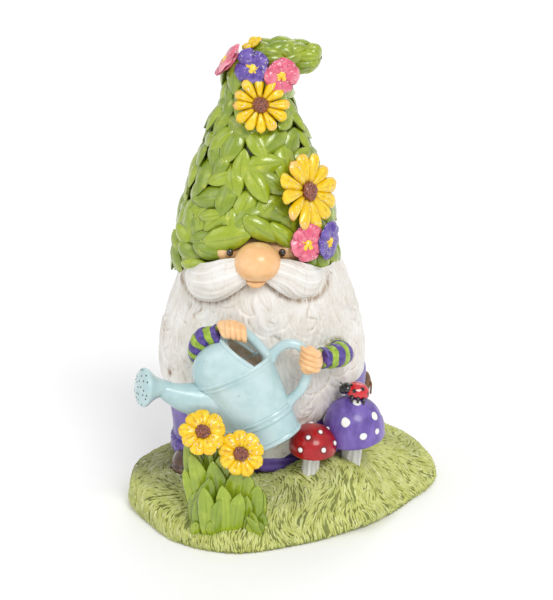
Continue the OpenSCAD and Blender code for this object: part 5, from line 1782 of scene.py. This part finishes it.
def mushroom_cap(r, h, dots, raised):
    """Domed cap with white dots, which are knobs when raised and painted otherwise."""
    sides, rows = (96, 34) if raised else (320, 110)
    q = np.linspace(0.02, math.pi / 2 - 0.01, rows)
    swell = 1 + 0.05 * np.sin(q * 2)
    top = np.stack([r * swell * np.cos(q), h * np.sin(q) ** 0.95], 1)
    under = [[0.3, 2.2], [r * 0.3, 1.6], [r * 0.6, -0.4], [r * 0.86, -2.0], [r * 0.97, -1.9],
             [r * 1.005, -0.9]]
    shape = lathe(np.concatenate([spline(under, 20), top]), sides)
    p = shape.points
    shape.pushed(0.28 * layered(p, 12, 2, int(r)) * smooth(-1, 2, p[:, 2]))
    ring, dot = np.zeros(len(p)), np.zeros(len(p))
    for degrees, up, size in dots:
        at, _ = cap_point(r, h, math.radians(degrees), up)
        far = np.linalg.norm(p - at, axis=1)
        if raised:
            ring = np.maximum(ring, bell(far - size * 1.25, 0.55))
        else:
            ragged = size * (1 + 0.1 * noise(p, 2.2, 5))
            dot = np.maximum(dot, smooth(ragged + 0.2, ragged - 0.1, far))
    ribs = capped(np.sin(angles(sides, rows + 20) * 24))
    below = smooth(0, -1.2, p[:, 2]) * smooth(r * 0.98, r * 0.9, np.hypot(p[:, 0], p[:, 1]))
    shape.pushed(ribs * below * 0.35 - 0.35 * ring)
    parts = [shape.set(ring=ring, dot=dot, under=below)]
    for degrees, up, size in dots if raised else []:
        at, out = cap_point(r, h, math.radians(degrees), up)
        b = np.linspace(0.05, math.pi / 2, 12)
        knob = lathe(np.stack([size * np.cos(b), 1.15 * np.sin(b) - 0.2], 1), 24)
        knob.pushed(0.1 * noise(knob.points, 1.2, 4))
        parts.append(knob.placed(frame_of(out, [0.1, 0, 1.0]), at - out * 0.1).set(
            ring=0.0, dot=1.0, under=0.0))
    return join(parts)


def stalk(name, foot, head, r, node, paint):
    """Fluted stalk of a mushroom from its foot to its head."""
    line = spline([foot, (np.array(foot) * 0.45 + np.array(head) * 0.55) + [0.4, -0.3, 0], head], 60)
    t = np.linspace(0, 1, 60)
    radii = r * (1.0 + 0.28 * (1 - t) ** 2 + 0.12 * t ** 3)
    body = sweep(line, radii, radii, (0, 1, 0), 72)
    a = capped(angles(72, 60))
    flute = 0.28 * np.sin(a * 9 + 1.5 * np.sin(body.points[:, 2] / 5)) + 0.12 * np.sin(a * 21)
    # Painted shade: darker at the foot, in the hollow value, and just under the cap, in top
    shade = smooth(6, 0, body.points[:, 2] - foot[2]) * 0.5
    top = smooth(-5, -1, body.points[:, 2] - head[2]) * 0.9
    body.set(hollow=np.clip(0.35 - flute + shade, 0, 1), top=top)
    piece(name, body.pushed(flute * 0.8), paint, "stalk_grey", node)


def cap_paints():
    """Paints of the red cap and of the purple one."""
    red = Paint("red_cap_paint", rough=0.28, coat=0.25)
    tone = red.mix(red.ramp(red.noise(7, 3), 0.35, 0.68), "96040C", "B20812")
    tone = red.mix(red.ramp(red.value("ring"), 0.2, 0.9, 0, 0.85), tone, "5A1210")
    tone = red.mix(red.value("under"), tone, "B9A79C")
    red.colour(red.mix(red.value("dot"), tone, "EEF0EC"))
    red.bumps((red.noise(4, 3), 0.22), (red.noise(0.8), 0.04))
    violet = Paint("purple_cap_paint", rough=0.36, coat=0.3)
    brushed = violet.noise(6, 4, violet.stretched(1, 1, 0.4), distort=0.5)
    tone = violet.mix(violet.ramp(brushed, 0.3, 0.7), "5C4596", "7C64B6")
    tone = violet.mix(violet.ramp(violet.noise(14), 0.5, 0.72, 0, 0.5), tone, "4B3580")
    tone = violet.mix(violet.value("under"), tone, "8C84A0")
    violet.colour(violet.mix(violet.value("dot"), tone, "EFEFEA"))
    violet.bumps((brushed, 0.3), (violet.value("dot"), 0.3), (violet.noise(0.7), 0.06))
    return red, violet


def stalk_paint():
    p = Paint("stalk_paint", rough=0.55, coat=0.1)
    streak = p.noise(3, 4, p.stretched(1, 1, 0.2), distort=0.6)
    tone = p.mix(p.ramp(streak, 0.35, 0.65), "C9C8C2", "E6E6E0")
    # hollow holds the flutes and the painted shade at the foot; top is painted shade under the cap
    tone = p.mix(p.ramp(p.value("hollow"), 0.4, 1.0, 0, 0.8), tone, "9A918A")
    p.colour(p.mix(p.value("top"), tone, "8A827C"))
    return p.bumps((streak, 0.35), (p.noise(0.7), 0.08))


def mushrooms():
    """Both mushrooms, each with its cap tilted on its stalk."""
    red, violet = cap_paints()
    cap_red = mushroom_cap(RED_R, RED_H, RED_DOTS, True)
    cap_red = cap_red.placed(turned(math.radians(5), 0) @ turned(math.radians(3), 1), RED_AT)
    piece("red_cap_dome", cap_red, red, "cap_red", "red_mushroom_cap")
    cap_purple = mushroom_cap(PURPLE_R, PURPLE_H, PURPLE_DOTS, False)
    cap_purple = cap_purple.placed(turned(math.radians(6), 0) @ turned(math.radians(-6), 1),
                                   PURPLE_AT)
    piece("purple_cap_dome", cap_purple, violet, "cap_purple", "purple_mushroom_cap")

    grey = stalk_paint()
    for name, node, head, r in (("red_stalk_trunk", "red_mushroom_stalk", RED_AT, 4.6),
                                ("purple_stalk_trunk", "purple_mushroom_stalk", PURPLE_AT, 5.6)):
        low, high = [np.array(c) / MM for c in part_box(node)]
        foot = [(low[0] + high[0]) / 2 - 1.2, (low[1] + high[1]) / 2 + 1.0, 22.0]
        stalk(name, foot, [head[0], head[1], head[2] + 1.2], r, node, grey)


def ladybird():
    """Red shell with black spots, a black head and short black legs."""
    red, black = Paint("ladybird_red_paint", 0.12, 0.9), Paint("ladybird_black_paint", 0.14, 0.9)
    red.colour(red.mix(red.value("spot"), red.mix(red.noise(3), "C8141C", "DE2430"), "0E0B0C"))
    red.bumps((red.noise(2, 2), 0.08))
    black.colour(black.mix(black.noise(1.5), "0E0D0F", "1D1C20"))
    black.bumps((black.noise(1.2, 2), 0.1))
    q = np.linspace(0.02, math.pi / 2, 26)
    profile = np.concatenate([[[0.2, -1.4], [BUG_R * 0.9, -1.3], [BUG_R, -0.6]],
                              np.stack([BUG_R * np.cos(q) ** 0.9, BUG_R * BUG_RISE * np.sin(q)], 1)])
    shell = lathe(profile, 72)
    p = shell.points
    spot = np.zeros(len(p))
    for degrees, up, size in ((-20, 0.28, 1.25), (24, 0.5, 1.25), (-62, 0.5, 1.2), (150, 0.4, 1.3),
                              (95, 0.3, 1.2), (-120, 0.35, 1.3), (60, 0.2, 1.1), (-175, 0.65, 1.2)):
        b = up * math.pi / 2
        at = BUG_R * np.array([math.cos(b) * math.sin(math.radians(degrees)),
                               -math.cos(b) * math.cos(math.radians(degrees)), BUG_RISE * math.sin(b)])
        spot = np.maximum(spot, smooth(size + 0.25, size - 0.2, np.linalg.norm(p - at, axis=1)))
    seam = bell(p[:, 1], 0.3) * smooth(0.5, 1.5, p[:, 2])
    shell.set(spot=np.clip(spot + seam * 0.9, 0, 1)).pushed(-0.25 * seam + 0.12 * spot)
    shell = shell.placed(np.diag([1.06, 0.92, 1]))
    tilt = turned(math.radians(14), 1)
    piece("ladybird_wing_cases", shell.placed(tilt, BUG_AT), red, "ladybird_red", "ladybird_shell")

    head = ball(3.8, 3.5, 36, 22).placed(np.diag([0.95, 1.15, 0.95]), (-6.2, -0.6, 1.4))
    face_plate = ball(2.7, 2.5, 30, 22).placed(np.eye(3), (-8.2, -1.4, 0.4))
    parts = [head, face_plate]
    for side in (-1, 1):
        feeler = spline([[-8.4, side * 1.2 - 1, 1.8], [-10, side * 2.2 - 1, 3.0],
                         [-10.8, side * 2.6 - 1, 2.6]], 14)
        parts.append(sweep(feeler, 0.35, 0.35, (0, 0, 1), 8))
        for k in range(3):
            x = -3 + 3.4 * k
            leg = spline([[x, side * 4.4, -0.6], [x + 0.3, side * 6.4, -0.8],
                          [x + 0.6, side * 7.4, -2.2], [x + 0.6, side * 7.8, -3.4]], 18)
            parts.append(sweep(leg, np.linspace(0.95, 0.7, 18), np.linspace(0.95, 0.7, 18),
                               (1, 0, 0), 10))
    piece("ladybird_head_legs", join(parts).placed(tilt, BUG_AT), black, "ladybird_black",
          "ladybird_head")


# ---- the whole figure ---------------------------------------------------------------

studio()
skin_finish = skin_paint()
ground()
coat()
hem()
boots()
pouch()
beard()
moustache()
face(skin_finish)
hat()
flowers()
arms(skin_finish)
can()
bed()
mushrooms()
ladybird()
